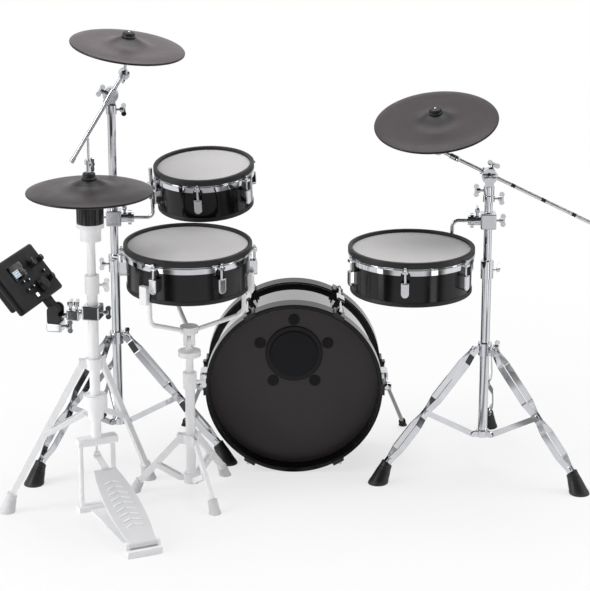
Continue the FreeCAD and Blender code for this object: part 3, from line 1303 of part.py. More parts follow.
def hihat_tubes():
    tube_foot = UP * YOKE_TOP_Z
    top = HIHAT_TUBE_TOP
    lower = pipe(HIHAT_TUBE_RADIUS, HIHAT_TUBE_RADIUS - HIHAT_TUBE_WALL, tube_foot, UP * top)
    upper = pipe(HIHAT_UPPER_RADIUS, HIHAT_UPPER_RADIUS - HIHAT_UPPER_WALL, UP * HIHAT_UPPER_FOOT_Z, UP * CUP_Z)
    sleeve = ring([
        (HIHAT_TUBE_RADIUS + SEAT_GAP, top - HIHAT_SLEEVE_LENGTH), (HIHAT_SLEEVE_RADIUS, top - HIHAT_SLEEVE_LENGTH),
        (HIHAT_SLEEVE_RADIUS, top + SLEEVE_LIP), (HIHAT_UPPER_RADIUS + SEAT_GAP, top + SLEEVE_LIP),
        (HIHAT_UPPER_RADIUS + SEAT_GAP, top + SEAT_GAP), (HIHAT_TUBE_RADIUS + SEAT_GAP, top + SEAT_GAP)])
    bolt = wing_bolt(V(HIHAT_SLEEVE_RADIUS, 0, top - HIHAT_SLEEVE_LENGTH / 2), RIGHT, UP)
    flange_z = CUP_Z + CUP_HEIGHT
    bore = PULL_ROD_RADIUS + RUN_GAP
    cup = ring([
        (bore, CUP_Z), (CUP_RADIUS, CUP_Z), (CUP_RADIUS, flange_z), (CUP_FLANGE_RADIUS, flange_z),
        (CUP_FLANGE_RADIUS, flange_z + CUP_FLANGE_HEIGHT), (bore, flange_z + CUP_FLANGE_HEIGHT)])
    return [lower, upper, sleeve, bolt, cup]


def pedal_frame():
    """Frame on the floor under the pull rod, with X towards the pedal's heel."""
    return upright(V(HIHAT_X, HIHAT_Y, 0), HIHAT_PEDAL_ANGLE)


def hihat_yoke():
    """Cross block under the tube, two posts, a bar on the floor, the base plate and the heel block."""
    width = 2 * (YOKE_SPREAD + YOKE_ROD_RADIUS + YOKE_ROUND)
    head_centre = UP * (YOKE_TOP_Z - YOKE_BLOCK_HEIGHT / 2)
    head = soft_block(YOKE_BLOCK_WIDTH, width, YOKE_BLOCK_HEIGHT, head_centre, YOKE_ROUND)
    head = head.cut(rod(PULL_ROD_RADIUS + RUN_GAP, ORIGIN, UP * (YOKE_TOP_Z + CUT_OVERRUN)))
    bar = block(BASE_BAR_WIDTH, width, BASE_BAR_HEIGHT, UP * (BASE_BAR_HEIGHT / 2))
    posts = [rod(YOKE_ROD_RADIUS, V(0, side * YOKE_SPREAD, BASE_BAR_HEIGHT),
                 V(0, side * YOKE_SPREAD, YOKE_TOP_Z - YOKE_BLOCK_HEIGHT)) for side in (-1, 1)]
    plate_start = BASE_BAR_WIDTH / 2
    plate_end = HEEL_FROM_AXIS - HEEL_BLOCK_LENGTH / 2
    plate = block(plate_end - plate_start, BASE_PLATE_WIDTH, BASE_PLATE_THICKNESS,
                  V((plate_start + plate_end) / 2, 0, BASE_PLATE_THICKNESS / 2))
    return [head, bar, plate, heel_block()] + posts


def heel_block():
    """Block on the floor with two lugs and the footboard's pin."""
    low_height = HEEL_HINGE_Z - HEEL_BARREL_RADIUS - RUN_GAP * 2
    base = block(HEEL_BLOCK_LENGTH, HEEL_BLOCK_WIDTH, low_height, V(HEEL_FROM_AXIS, 0, low_height / 2))
    shapes = [base]
    lug_y = HEEL_BLOCK_WIDTH / 2 - HEEL_LUG_THICKNESS / 2
    hinge = V(HEEL_FROM_AXIS, 0, HEEL_HINGE_Z)
    for side in (-1, 1):
        middle = BACK * (side * lug_y)
        half = BACK * (HEEL_LUG_THICKNESS / 2)
        shapes.append(rod(HEEL_BARREL_RADIUS, hinge + middle - half, hinge + middle + half))
        shapes.append(block(HEEL_BARREL_RADIUS * 2, HEEL_LUG_THICKNESS, HEEL_HINGE_Z,
                            V(HEEL_FROM_AXIS, 0, HEEL_HINGE_Z / 2) + middle))
    reach = BACK * lug_y
    shapes.append(rod(HEEL_PIN_RADIUS, hinge - reach, hinge + reach))
    return joined(shapes)


def footboard():
    """Treadle from the heel pin up to the toe, wider in the middle."""
    angle = math.radians(FOOTBOARD_ANGLE)
    hinge = V(HEEL_FROM_AXIS, 0, HEEL_HINGE_Z)
    place = frame(hinge, V(math.sin(angle), 0, math.cos(angle)), V(-math.cos(angle), 0, math.sin(angle)))
    half_shares = ((0, FOOTBOARD_HEEL_WIDTH), (0.55, FOOTBOARD_BELLY_WIDTH), (1, FOOTBOARD_TOE_WIDTH))
    edge = [V(FOOTBOARD_LENGTH * share, width / 2, HEEL_BARREL_RADIUS - FOOTBOARD_THICKNESS)
            for share, width in half_shares]
    other = [V(spot.x, -spot.y, spot.z) for spot in reversed(edge)]
    outline = Part.Wire([
        Part.Arc(edge[0], edge[1], edge[2]).toShape(), Part.LineSegment(edge[2], other[0]).toShape(),
        Part.Arc(other[0], other[1], other[2]).toShape(), Part.LineSegment(other[2], edge[0]).toShape()])
    board = Part.Face(outline).extrude(UP * FOOTBOARD_THICKNESS)
    reach = BACK * (HEEL_BLOCK_WIDTH / 2 - HEEL_LUG_THICKNESS - RUN_GAP)
    barrel = rod(HEEL_BARREL_RADIUS, -reach, reach)
    hole = rod(HEEL_PIN_RADIUS + PIN_GAP, reach * -2, reach * 2)
    return [placed(joined([board, barrel]).cut(hole), place)]


def toe_point():
    """Middle of the footboard's toe, on its upper face, in the pedal's frame."""
    angle = math.radians(FOOTBOARD_ANGLE)
    along = V(-math.cos(angle), 0, math.sin(angle))
    out = V(math.sin(angle), 0, math.cos(angle))
    return V(HEEL_FROM_AXIS, 0, HEEL_HINGE_Z) + along * FOOTBOARD_LENGTH + out * HEEL_BARREL_RADIUS


def pull_rod():
    """Pull rod with its link and strap below, and the clutch that holds the pad."""
    shaft = rod(PULL_ROD_RADIUS, UP * PULL_ROD_FOOT_Z, UP * PULL_ROD_TOP_Z)
    link = rod(PULL_LINK_RADIUS, UP * (PULL_ROD_FOOT_Z - PULL_LINK_LENGTH), UP * PULL_ROD_FOOT_Z)
    strap_end = toe_point() + V(STRAP_THICKNESS, 0, STRAP_THICKNESS)
    strap = flat_bar(UP * (PULL_ROD_FOOT_Z - PULL_LINK_LENGTH / 2), strap_end, STRAP_WIDTH, STRAP_THICKNESS, UP)
    lower = joined([shaft, link, strap])
    clutch_low = UP * (HIHAT_RIM_Z + HIHAT_BOW_HEIGHT + HIHAT_BELL_HEIGHT + HIHAT_CAP_HEIGHT)
    clutch_top = clutch_low + UP * CLUTCH_LENGTH
    bore = PULL_ROD_RADIUS
    clutch = pipe(CLUTCH_RADIUS, bore, clutch_low, clutch_top)
    collar = pipe(CLUTCH_COLLAR_RADIUS, bore, clutch_top - UP * CLUTCH_COLLAR_HEIGHT, clutch_top)
    screw_start = clutch_top - UP * CLUTCH_COLLAR_HEIGHT / 2 + RIGHT * CLUTCH_COLLAR_RADIUS
    return [joined([lower, clutch, collar]), wing_bolt(screw_start, RIGHT, UP)]


def hihat_pad():
    bell_top = HIHAT_BOW_HEIGHT + HIHAT_BELL_HEIGHT
    bore = PULL_ROD_RADIUS + SEAT_GAP
    pad = cymbal_pad(HIHAT_DIAMETER, HIHAT_BOW_HEIGHT, HIHAT_BELL_HEIGHT, bore)
    cap = pad_cap(bell_top, HIHAT_CAP_HEIGHT, bore, HIHAT_CAP_HEIGHT + CUT_OVERRUN)
    return [pad.translated(UP * HIHAT_RIM_Z), cap.translated(UP * HIHAT_RIM_Z)]


def sensor_unit():
    """Round sensor box on the stand's cup, ribbed like a grip, with a hole for the pull rod."""
    low = CUP_Z + CUP_HEIGHT + CUP_FLANGE_HEIGHT
    box = rod(SENSOR_RADIUS, UP * low, UP * (low + SENSOR_HEIGHT))
    top_edges = [edge for edge in box.Edges if edge.BoundBox.ZMin > low + SENSOR_HEIGHT / 2]
    box = box.makeFillet(SENSOR_ROUND, top_edges)
    flute = rod(SENSOR_RIB_RADIUS, V(SENSOR_RADIUS, 0, low + SENSOR_ROUND * 2),
                V(SENSOR_RADIUS, 0, low + SENSOR_HEIGHT - SENSOR_ROUND * 2))
    box = box.cut([turned(flute, FULL_TURN * step / SENSOR_RIB_COUNT) for step in range(SENSOR_RIB_COUNT)])
    return [box.cut(rod(PULL_ROD_RADIUS + RUN_GAP, ORIGIN, UP * PULL_ROD_TOP_Z))]


def hihat_pieces():
    place = upright(V(HIHAT_X, HIHAT_Y, 0))
    pedal = pedal_frame()
    stand = [placed(shape, place) for shape in hihat_tubes() + hihat_collars() + hihat_legs()]
    return {
        "hihat_stand": stand + [placed(shape, pedal) for shape in hihat_yoke()],
        "hihat_footboard": [placed(shape, pedal) for shape in footboard()],
        "hihat_rod": [placed(shape, pedal) for shape in pull_rod()],
        "hihat_cymbal": [placed(shape, place) for shape in hihat_pad()],
        "hihat_sensor_unit": [placed(shape, place) for shape in sensor_unit()]}


# Snare stand, with its basket set square to the drum

def snare_base():
    """Tube on three legs, the upper tube with its clamp, the knob and the fork of the tilter."""
    tube_bore = STAND_UPPER_RADIUS + SEAT_GAP
    lower = pipe(STAND_TUBE_RADIUS, tube_bore, UP * STAND_TUBE_FOOT_Z, UP * STAND_TUBE_TOP)
    top = STAND_TUBE_TOP
    sleeve = ring([
        (STAND_TUBE_RADIUS + SEAT_GAP, top - STAND_SLEEVE_LENGTH), (STAND_SLEEVE_RADIUS, top - STAND_SLEEVE_LENGTH),
        (STAND_SLEEVE_RADIUS, top + SLEEVE_LIP), (tube_bore, top + SLEEVE_LIP), (tube_bore, top + SEAT_GAP),
        (STAND_TUBE_RADIUS + SEAT_GAP, top + SEAT_GAP)])
    bolt = wing_bolt(V(STAND_SLEEVE_RADIUS, 0, top - STAND_SLEEVE_LENGTH / 2), RIGHT, UP)
    neck_top = UP * (BASKET_PIVOT_Z - BASKET_FORK_RADIUS)
    upper = rod(STAND_UPPER_RADIUS, UP * (STAND_TUBE_FOOT_Z + STAND_COLLAR_HEIGHT), neck_top)
    knob_low = UP * STAND_KNOB_Z
    knob = rod(STAND_KNOB_RADIUS, knob_low, knob_low + UP * STAND_KNOB_HEIGHT)
    pivot = UP * BASKET_PIVOT_Z
    half = RIGHT * (BASKET_FORK_WIDTH / 2)
    tongue = joined([
        rod(BASKET_FORK_RADIUS, pivot - half, pivot + half), upper, knob,
        block(BASKET_FORK_WIDTH, BASKET_FORK_RADIUS * 2, BASKET_FORK_RADIUS, pivot - UP * BASKET_FORK_RADIUS / 2)])
    tongue = tongue.cut(rod(BASKET_PIN_RADIUS + PIN_GAP, pivot - half * 4, pivot + half * 4))
    place = upright(V(SNARE_X, SNARE_Y, 0))
    return [placed(shape, place) for shape in [lower, sleeve, bolt, tongue] + snare_legs()]


def snare_legs():
    pivot = V(STAND_LEG_TOP_RADIUS, 0, STAND_LEG_TOP_Z)
    tip = V(STAND_FOOT_RADIUS, 0, 0)
    radii = (STAND_BOOT_TOP_RADIUS, STAND_BOOT_BOTTOM_RADIUS)
    leg = small_leg(pivot, tip, STAND_BOOT_LENGTH, radii, HIHAT_BAR_WIDTH, HIHAT_BAR_THICKNESS)
    meeting = pivot + (tip - pivot).normalize() * STAND_STRUT_ON_LEG
    foot = V(STAND_LEG_TOP_RADIUS, 0, STAND_STRUT_Z)
    beside = BACK * (HIHAT_BAR_THICKNESS / 2 + HIHAT_STRUT_THICKNESS / 2)
    struts = [flat_bar(foot + beside * side, meeting + beside * side, HIHAT_STRUT_WIDTH, HIHAT_STRUT_THICKNESS, BACK)
              for side in (-1, 1)]
    lug_start = STAND_TUBE_RADIUS + SEAT_GAP * 2
    lug_end = STAND_LEG_TOP_RADIUS + HIHAT_BAR_WIDTH / 2
    leg_lugs = [block(lug_end - lug_start, HIHAT_STRUT_THICKNESS, STAND_COLLAR_HEIGHT,
                      V((lug_end + lug_start) / 2, 0, STAND_LEG_TOP_Z) + beside * side) for side in (-1, 1)]
    strut_lug = block(STAND_LEG_TOP_RADIUS + HIHAT_STRUT_WIDTH / 2 - lug_start, HIHAT_BAR_THICKNESS, HIHAT_STRUT_WIDTH,
                      V((STAND_LEG_TOP_RADIUS + HIHAT_STRUT_WIDTH / 2 + lug_start) / 2, 0, STAND_STRUT_Z))
    angles = [STAND_LEG_ANGLE + FULL_TURN * step / LEG_COUNT for step in range(LEG_COUNT)]
    bore = rod(STAND_TUBE_RADIUS + SEAT_GAP, ORIGIN, UP * STAND_TUBE_TOP)
    pieces = []
    for height, lugs in ((STAND_LEG_TOP_Z, leg_lugs), (STAND_STRUT_Z, [strut_lug])):
        low = UP * (height - STAND_COLLAR_HEIGHT / 2)
        collar = rod(STAND_COLLAR_RADIUS, low, low + UP * STAND_COLLAR_HEIGHT)
        pieces.append(joined([collar] + [turned(lug, angle) for angle in angles for lug in lugs]).cut(bore))
    for angle in angles:
        pieces += [turned(shape, angle) for shape in leg + struts]
    return pieces


def basket_pivot():
    return V(SNARE_X, SNARE_Y, BASKET_PIVOT_Z)


def basket():
    """Fork and pin on the tilter's tongue, hub, three arms and the rubber grips that hold the drum."""
    place = upright(V(SNARE_X, SNARE_Y, 0))
    pivot = UP * BASKET_PIVOT_Z
    inner = RIGHT * (BASKET_FORK_WIDTH / 2 + RUN_GAP)
    outer = RIGHT * (BASKET_FORK_WIDTH * 1.5)
    hub = rod(BASKET_HUB_RADIUS, UP * BASKET_HUB_Z, UP * (BASKET_HUB_Z + BASKET_HUB_HEIGHT))
    shapes = [hub, rod(BASKET_PIN_RADIUS, pivot - outer, pivot + outer)]
    for side in (-1, 1):
        shapes.append(rod(BASKET_FORK_RADIUS, pivot + inner * side, pivot + outer * side))
        middle = (inner + outer) * (side / 2)
        shapes.append(block((outer - inner).Length, BASKET_FORK_RADIUS * 2, BASKET_HUB_Z - BASKET_PIVOT_Z + SEAT_GAP,
                            middle + UP * (BASKET_HUB_Z + BASKET_PIVOT_Z) / 2))
    hub = placed(joined(shapes), place)
    drum = snare_place()
    shell = SNARE_RIM_DIAMETER / 2 - SHELL_INSET
    hub_height = SNARE_Z - BASKET_HUB_Z - BASKET_HUB_HEIGHT / 2
    pieces = [hub]
    for step in range(LEG_COUNT):
        angle = BASKET_ARM_ANGLE + FULL_TURN * step / LEG_COUNT
        pieces += [placed(turned(shape, angle), drum) for shape in basket_arm(shell, hub_height)]
    return pieces


def basket_arm(shell, hub_height):
    """One bent arm from the hub's side, and the grip at its end, in the drum's frame."""
    floor = -DRUM_HEIGHT - SEAT_GAP
    start = V(BASKET_HUB_RADIUS, 0, -hub_height)
    knee = V(shell - GRIP_DEPTH / 2, 0, floor - GRIP_FLOOR - BASKET_ARM_BEND * 2)
    end = V(shell - GRIP_DEPTH / 4, 0, floor - GRIP_FLOOR)
    arm = bent_rod([start + RIGHT * SEAT_GAP, knee, V(knee.x, 0, end.z)], BASKET_ARM_BEND, BASKET_ARM_RADIUS)
    outer = shell + GRIP_DEPTH / 2
    inner = shell - GRIP_DEPTH
    body = soft_block(outer - inner, GRIP_WIDTH, GRIP_FLOOR + GRIP_RISE,
                      V((outer + inner) / 2, 0, floor + (GRIP_RISE - GRIP_FLOOR) / 2), GRIP_ROUND)
    room = rod(shell + SEAT_GAP, UP * floor, UP * (floor + DRUM_HEIGHT))
    return [arm, body.cut(room)]


# Sound module, with X along its width, Y towards its upper edge and Z out of its panel

def module_place():
    turn = math.radians(MODULE_TURN_ANGLE)
    tilt = math.radians(MODULE_TILT_ANGLE)
    facing = V(math.sin(turn), -math.cos(turn), 0)
    normal = facing * math.cos(tilt) + UP * math.sin(tilt)
    return frame(V(MODULE_X, MODULE_Y, MODULE_Z), normal, flat_direction(MODULE_TURN_ANGLE))


def panel_spot(shares):
    """Place on the panel from shares of its width and length, counted from its upper left corner."""
    return V((shares[0] - 0.5) * MODULE_WIDTH, (0.5 - shares[1]) * MODULE_LENGTH, 0)


def module_hinge():
    """Middle of the hinge under the case, in the module's frame."""
    across = (MODULE_TONGUE_SHARE - 0.5) * MODULE_WIDTH
    return V(across, -MODULE_LENGTH / 2 - MODULE_TONGUE_LENGTH, -MODULE_HINGE_DEPTH - MODULE_THICKNESS / 4)


def module_case():
    """Flat case on a smaller belly, with pockets for the dial's stem and the buttons, screen, tongue and knobs."""
    slab = soft_block(MODULE_WIDTH, MODULE_LENGTH, MODULE_SLAB_THICKNESS, -UP * (MODULE_SLAB_THICKNESS / 2), MODULE_ROUND)
    belly_top = MODULE_SLAB_THICKNESS / 2
    belly = soft_block(
        MODULE_WIDTH - 2 * MODULE_BELLY_INSET, MODULE_LENGTH - 2 * MODULE_BELLY_INSET, MODULE_THICKNESS - belly_top,
        -UP * ((MODULE_THICKNESS + belly_top) / 2), MODULE_ROUND)
    hinge = module_hinge()
    half = RIGHT * (MODULE_TONGUE_WIDTH / 2)
    inside = V(hinge.x, -MODULE_LENGTH / 2 + MODULE_BELLY_INSET + MODULE_ROUND, hinge.z)
    tongue = flat_bar(hinge, inside, MODULE_TONGUE_THICKNESS, MODULE_TONGUE_WIDTH, RIGHT)
    eye = rod(MODULE_HINGE_RADIUS, hinge - half, hinge + half)
    body = joined([slab, belly, tongue, eye]).cut(rod(MODULE_PIN_RADIUS + PIN_GAP, hinge - half * 2, hinge + half * 2))
    dial = panel_spot(DIAL_PLACE_SHARES)
    cuts = [rod(DIAL_STEM_RADIUS + PIN_GAP, dial - UP * DIAL_STEM_LENGTH, dial + UP * CUT_OVERRUN)]
    for shares in BUTTON_PLACE_SHARES:
        spot = panel_spot(shares)
        cuts.append(rod(BUTTON_RADIUS + RUN_GAP, spot - UP * (BUTTON_DEPTH + BUTTON_PRESS * 2), spot + UP * CUT_OVERRUN))
    cuts += [shape.translated(UP * -(BUTTON_DEPTH + BUTTON_PRESS)) for shape in button_bridge(RUN_GAP + BUTTON_PRESS)]
    body = body.cut(cuts)
    screen_spot = panel_spot(SCREEN_CENTRE_SHARES)
    screen = block(SCREEN_WIDTH, SCREEN_LENGTH, SCREEN_THICKNESS, screen_spot + UP * SCREEN_THICKNESS / 2)
    knobs = [rod(KNOB_RADIUS, panel_spot(shares), panel_spot(shares) + UP * KNOB_HEIGHT) for shares in KNOB_PLACE_SHARES]
    return [body, screen] + knobs


def button_bridge(room):
    """Thin carrier under the panel that joins the buttons, with room around it where asked."""
    spots = [panel_spot(shares) for shares in BUTTON_PLACE_SHARES]
    bars = []
    for start, end in zip(spots, spots[1:]):
        bars.append(flat_bar(start, end, BUTTON_RADIUS + 2 * room, BUTTON_BRIDGE_THICKNESS + 2 * room, UP))
    return bars


def module_buttons():
    """Push buttons that share one rubber carrier."""
    shapes = [shape.translated(UP * -BUTTON_DEPTH) for shape in button_bridge(0)]
    for shares in BUTTON_PLACE_SHARES:
        spot = panel_spot(shares)
        shapes.append(rod(BUTTON_RADIUS, spot - UP * BUTTON_DEPTH, spot + UP * BUTTON_HEIGHT))
    return [joined(shapes)]


def module_dial():
    spot = panel_spot(DIAL_PLACE_SHARES)
    cap = rod(DIAL_RADIUS, spot + UP * RUN_GAP, spot + UP * (RUN_GAP + DIAL_HEIGHT))
    top_edges = [edge for edge in cap.Edges if edge.BoundBox.ZMin > DIAL_HEIGHT / 2]
    stem = rod(DIAL_STEM_RADIUS, spot - UP * (DIAL_STEM_LENGTH - RUN_GAP), spot + UP * DIAL_HEIGHT / 2)
    return [joined([cap.makeFillet(DIAL_ROUND, top_edges), stem])]


def module_clamp():
    """Hinge bracket, jaw and arm, and the block that grips the hi-hat stand's tube."""
    place = module_place()
    hinge = place.multVec(module_hinge())
    across = flat_direction(MODULE_TURN_ANGLE)
    inner = across * (MODULE_TONGUE_WIDTH / 2 + RUN_GAP)
    outer = across * (MODULE_TONGUE_WIDTH / 2 + RUN_GAP + MODULE_EAR_THICKNESS)
    base_top = hinge - UP * (MODULE_HINGE_RADIUS + RUN_GAP * 3)
    jaw_top = base_top - UP * MODULE_BASE_HEIGHT
    ear_width = (outer - inner).Length
    shapes = [rod(MODULE_PIN_RADIUS, hinge - outer, hinge + outer)]
    for side in (-1, 1):
        shapes.append(rod(MODULE_BASE_RADIUS, hinge + inner * side, hinge + outer * side))
        ear = block(ear_width, MODULE_BASE_RADIUS * 2, hinge.z - base_top.z + SEAT_GAP,
                    UP * (base_top.z - hinge.z) / 2 + RIGHT * ((inner + outer) * 0.5).Length * side)
        shapes.append(placed(ear, upright(hinge, MODULE_TURN_ANGLE)))
    foot = block(2 * outer.Length, MODULE_BASE_RADIUS * 2, MODULE_BASE_HEIGHT, UP * -(MODULE_BASE_HEIGHT / 2))
    shapes.append(placed(foot, upright(base_top, MODULE_TURN_ANGLE)))
    tube = V(HIHAT_X, HIHAT_Y, MODULE_CLAMP_Z)
    reach = V(tube.x - hinge.x, tube.y - hinge.y, 0).normalize()
    arm_angle = math.degrees(math.atan2(reach.y, reach.x))
    jaw_centre = jaw_top - UP * (SEAT_GAP + MODULE_JAW_HEIGHT / 2)
    jaw = placed(soft_block(MODULE_JAW_WIDTH, MODULE_JAW_WIDTH, MODULE_JAW_HEIGHT, ORIGIN, CLAMP_ROUND),
                 upright(jaw_centre, arm_angle))
    jaw_bolt = wing_bolt(jaw_centre + reach * (MODULE_JAW_WIDTH / 2), reach, UP)
    bracket = joined(shapes)
    return [bracket, jaw, jaw_bolt] + module_arm(bracket, base_top - UP * (MODULE_BASE_HEIGHT / 2), tube, arm_angle)


def module_arm(bracket, start, tube, arm_angle):
    """Arm from the hinge bracket's side with a knuckle on it, and the grip on the stand's tube, with their bolts."""
    grip = placed(soft_block(MODULE_CLAMP_WIDTH, MODULE_CLAMP_WIDTH, MODULE_CLAMP_HEIGHT, ORIGIN, CLAMP_ROUND),
                  upright(tube, arm_angle))
    toward = flat_direction(arm_angle)
    arm = rod(MODULE_ARM_RADIUS, start, tube - toward * (HIHAT_TUBE_RADIUS * 1.2))
    middle = start + (tube - start) * MODULE_KNUCKLE_SHARE
    knuckle = placed(
        soft_block(MODULE_KNUCKLE_LENGTH, MODULE_KNUCKLE_WIDTH, MODULE_KNUCKLE_HEIGHT, ORIGIN, CLAMP_ROUND),
        upright(middle, arm_angle))
    chrome = joined([grip, knuckle, arm.cut(bracket)])
    chrome = chrome.cut(rod(HIHAT_TUBE_RADIUS + PIN_GAP, tube - UP * MODULE_CLAMP_HEIGHT, tube + UP * MODULE_CLAMP_HEIGHT))
    across = flat_direction(arm_angle + FULL_TURN / 4)
    crown = middle + UP * (MODULE_KNUCKLE_HEIGHT / 2)
    bolts = [wing_bolt(crown + toward * (MODULE_KNUCKLE_LENGTH / 4 * side), UP, across) for side in (-1, 1)]
    return [chrome, wing_bolt(tube + toward * (MODULE_CLAMP_WIDTH / 2), toward, UP)] + bolts


def module_pieces():
    place = module_place()
    return {
        "module_case": [placed(shape, place) for shape in module_case()],
        "module_dial": [placed(shape, place) for shape in module_dial()],
        "module_buttons": [placed(shape, place) for shape in module_buttons()],
        "module_clamp": module_clamp()}


def all_pieces():
    pieces = kick_pieces()
    pieces.update(pad_pieces("snare", snare_place(), SNARE_RIM_DIAMETER, SNARE_LUG_ANGLE, SNARE_BRACKET_ANGLE))
    pieces.update(pad_pieces("tom", tom_place(), TOM_RIM_DIAMETER, TOM_LUG_ANGLE, TOM_BRACKET_ANGLE))
    pieces.update(pad_pieces(
        "floor_tom", floor_tom_place(), FLOOR_TOM_RIM_DIAMETER, FLOOR_TOM_LUG_ANGLE, FLOOR_TOM_BRACKET_ANGLE))
    pieces.update(stand_pieces(LEFT, tom_rod_end()))
    pieces.update(stand_pieces(RIGHT_STAND, floor_tom_rod_end()))
    pieces.update(hihat_pieces())
    pieces["snare_stand_base"] = snare_base()
    pieces["snare_stand_basket"] = basket()
    pieces.update(module_pieces())
    return pieces


def main():
    os.makedirs("parts", exist_ok=True)
    shift = V(-KIT_CENTRE_X, -KIT_CENTRE_Y, 0)
    for name, shapes in all_pieces().items():
        solids = [solid.translated(shift) for shape in shapes for solid in shape.Solids]
        Part.makeCompound(solids).exportStep("parts/" + name + ".step")


if __name__ == "__main__":
    main()
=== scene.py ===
"""Looks of the electronic drum kit: a finish for every CAD node, and the small pieces that dress them.

Angles are degrees. The stage alone is laid out in metres.
"""
import bmesh
import bpy
import json
import math
from mathutils import Matrix, Vector


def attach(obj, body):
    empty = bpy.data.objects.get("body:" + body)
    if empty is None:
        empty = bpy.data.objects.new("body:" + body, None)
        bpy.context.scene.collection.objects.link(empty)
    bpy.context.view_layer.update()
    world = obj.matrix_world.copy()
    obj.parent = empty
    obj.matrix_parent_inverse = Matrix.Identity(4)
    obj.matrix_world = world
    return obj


MM = 0.001
UPRIGHT = Vector((0, 0, 1))
TO_RIGHT = Vector((1, 0, 0))

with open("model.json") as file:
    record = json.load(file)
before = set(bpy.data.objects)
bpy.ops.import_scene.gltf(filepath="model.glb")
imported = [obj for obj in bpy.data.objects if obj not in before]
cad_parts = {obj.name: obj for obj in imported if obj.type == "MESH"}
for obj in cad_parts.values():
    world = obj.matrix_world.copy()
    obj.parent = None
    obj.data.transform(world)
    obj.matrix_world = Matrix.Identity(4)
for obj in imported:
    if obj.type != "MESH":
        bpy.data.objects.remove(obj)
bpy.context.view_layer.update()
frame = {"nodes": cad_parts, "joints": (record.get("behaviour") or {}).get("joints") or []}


# Driving sizes; the places of the pieces follow from these and from the joints of the frame

# A stand's leg reaches straight out from its pin, a spur to the side and forward, away from the player
STAND_LEG_REACH = 306
STAND_FOOT_LENGTH = 74
SPUR_SPREAD = 60
SPUR_FORWARD = 246
SPUR_FOOT_LENGTH = 30
# Decimals of a foot's place: exact places would put its flat top in one plane with the boot's top under it
FOOT_DECIMALS = 2

# The pale stands: where the legs point, how far their tips and their tops are from the stand's axis
HIHAT_LEGS = {
    "angles": (-174, 60), "reach": 252, "top_radius": 31, "top_height": 406, "foot_length": 58}
SNARE_STAND_LEGS = {
    "angles": (56, 176, 296), "reach": 168, "top_radius": 28, "top_height": 158, "foot_length": 44}

# The mesh pads: rim diameter, angle of the first lug, and how the head leans to the right and to the player
PADS = {
    "snare": {"diameter": 336, "lug_angle": 2, "lean": (0, 2)},
    "tom": {"diameter": 274, "lug_angle": 25, "lean": (-2.2, 6.6)},
    "floor_tom": {"diameter": 334, "lug_angle": 22, "lean": (0, 0)},
}
SNARE_ABOVE_TILT = 272
# The toms hang on a rod's corner: the rim's height above it, and the angle of the bracket on the rim
ROD_CORNERS = {"tom": (143, 190), "floor_tom": (-32, 48.8)}
BRACKET_OUT = 8.5

# The cymbal pads: lean, height of the bell's top above the rim, height of the cap, and the body they ride on
CYMBALS = {
    "crash_cymbal": {"lean": (7.8, 5.1), "bell": 25, "cap": 13.4, "body": "crash_cymbal"},
    "ride_cymbal": {"lean": (-6.6, 16), "bell": 25, "cap": 13.4, "body": "ride_cymbal"},
    "hihat_cymbal": {"lean": (0, 0), "bell": 31, "cap": 16.4, "body": "hihat_pad"},
}
SWING_BELOW_BELL = 6.5
HIHAT_RIM_HEIGHT = 868

RIGHT_BOOM_LENGTH = 503.5
CUSHION_HEIGHT = 331
PEDAL_RISE = 20

# The module's panel, and where its hinge is: a share of the width, below the panel's edge and under its face
MODULE_WIDTH = 252
MODULE_LENGTH = 143
HINGE_SHARE = 0.68
HINGE_BELOW_EDGE = 36
HINGE_UNDER_FACE = 18

JOINTS = {joint["name"]: joint for joint in frame["joints"]}


def joint_place(name):
    return Vector(JOINTS[name]["pos_m"]) / MM


def joint_axis(name):
    return Vector(JOINTS[name]["axis"])


def floor_under(place):
    return Vector((place.x, place.y, 0))


def hihat_axis():
    """A place on the axis of the hi-hat stand: the module's arm swivels on its tube."""
    return joint_place("module_swivel")


def leaning(right, front):
    """Direction that leans from upright to the right and towards the player."""
    return Vector((math.tan(math.radians(right)), -math.tan(math.radians(front)), 1)).normalized()


def flat_way(angle):
    return Vector((math.cos(math.radians(angle)), math.sin(math.radians(angle)), 0))


def place_at(origin, normal, across):
    """Frame at a place in millimetres, with Z along the normal and X as near to across as it can be."""
    up = Vector(normal).normalized()
    side = (across - up * up.dot(across)).normalized()
    turn = Matrix((side, up.cross(side), up)).transposed()
    return Matrix.Translation(Vector(origin) * MM) @ turn.to_4x4()


def foot_line(pin, tip, length):
    """A leg's tip on the floor, and the top of its rubber foot, back along the leg towards its pin."""
    top = tip + (pin - tip).normalized() * length
    return [Vector([round(value, FOOT_DECIMALS) for value in place]) for place in (tip, top)]


def stand_foot(leg):
    pin = joint_place(leg + "_swing")
    tip = floor_under(pin) + joint_axis(leg + "_swing").cross(UPRIGHT) * STAND_LEG_REACH
    return foot_line(pin, tip, STAND_FOOT_LENGTH)


def spur_foot(spur, side):
    pin = joint_place(spur + "_fold")
    tip = floor_under(pin) + Vector((side * SPUR_SPREAD, SPUR_FORWARD, 0))
    return foot_line(pin, tip, SPUR_FOOT_LENGTH)


def pale_feet(axis, angles, reach, top_radius, top_height, foot_length):
    """Tips and tops of the rubber feet of a pale stand, whose legs spread from its axis."""
    middle = floor_under(axis)
    leg_top = middle + UPRIGHT * top_height
    ways = [flat_way(angle) for angle in angles]
    return [foot_line(leg_top + way * top_radius, middle + way * reach, foot_length) for way in ways]


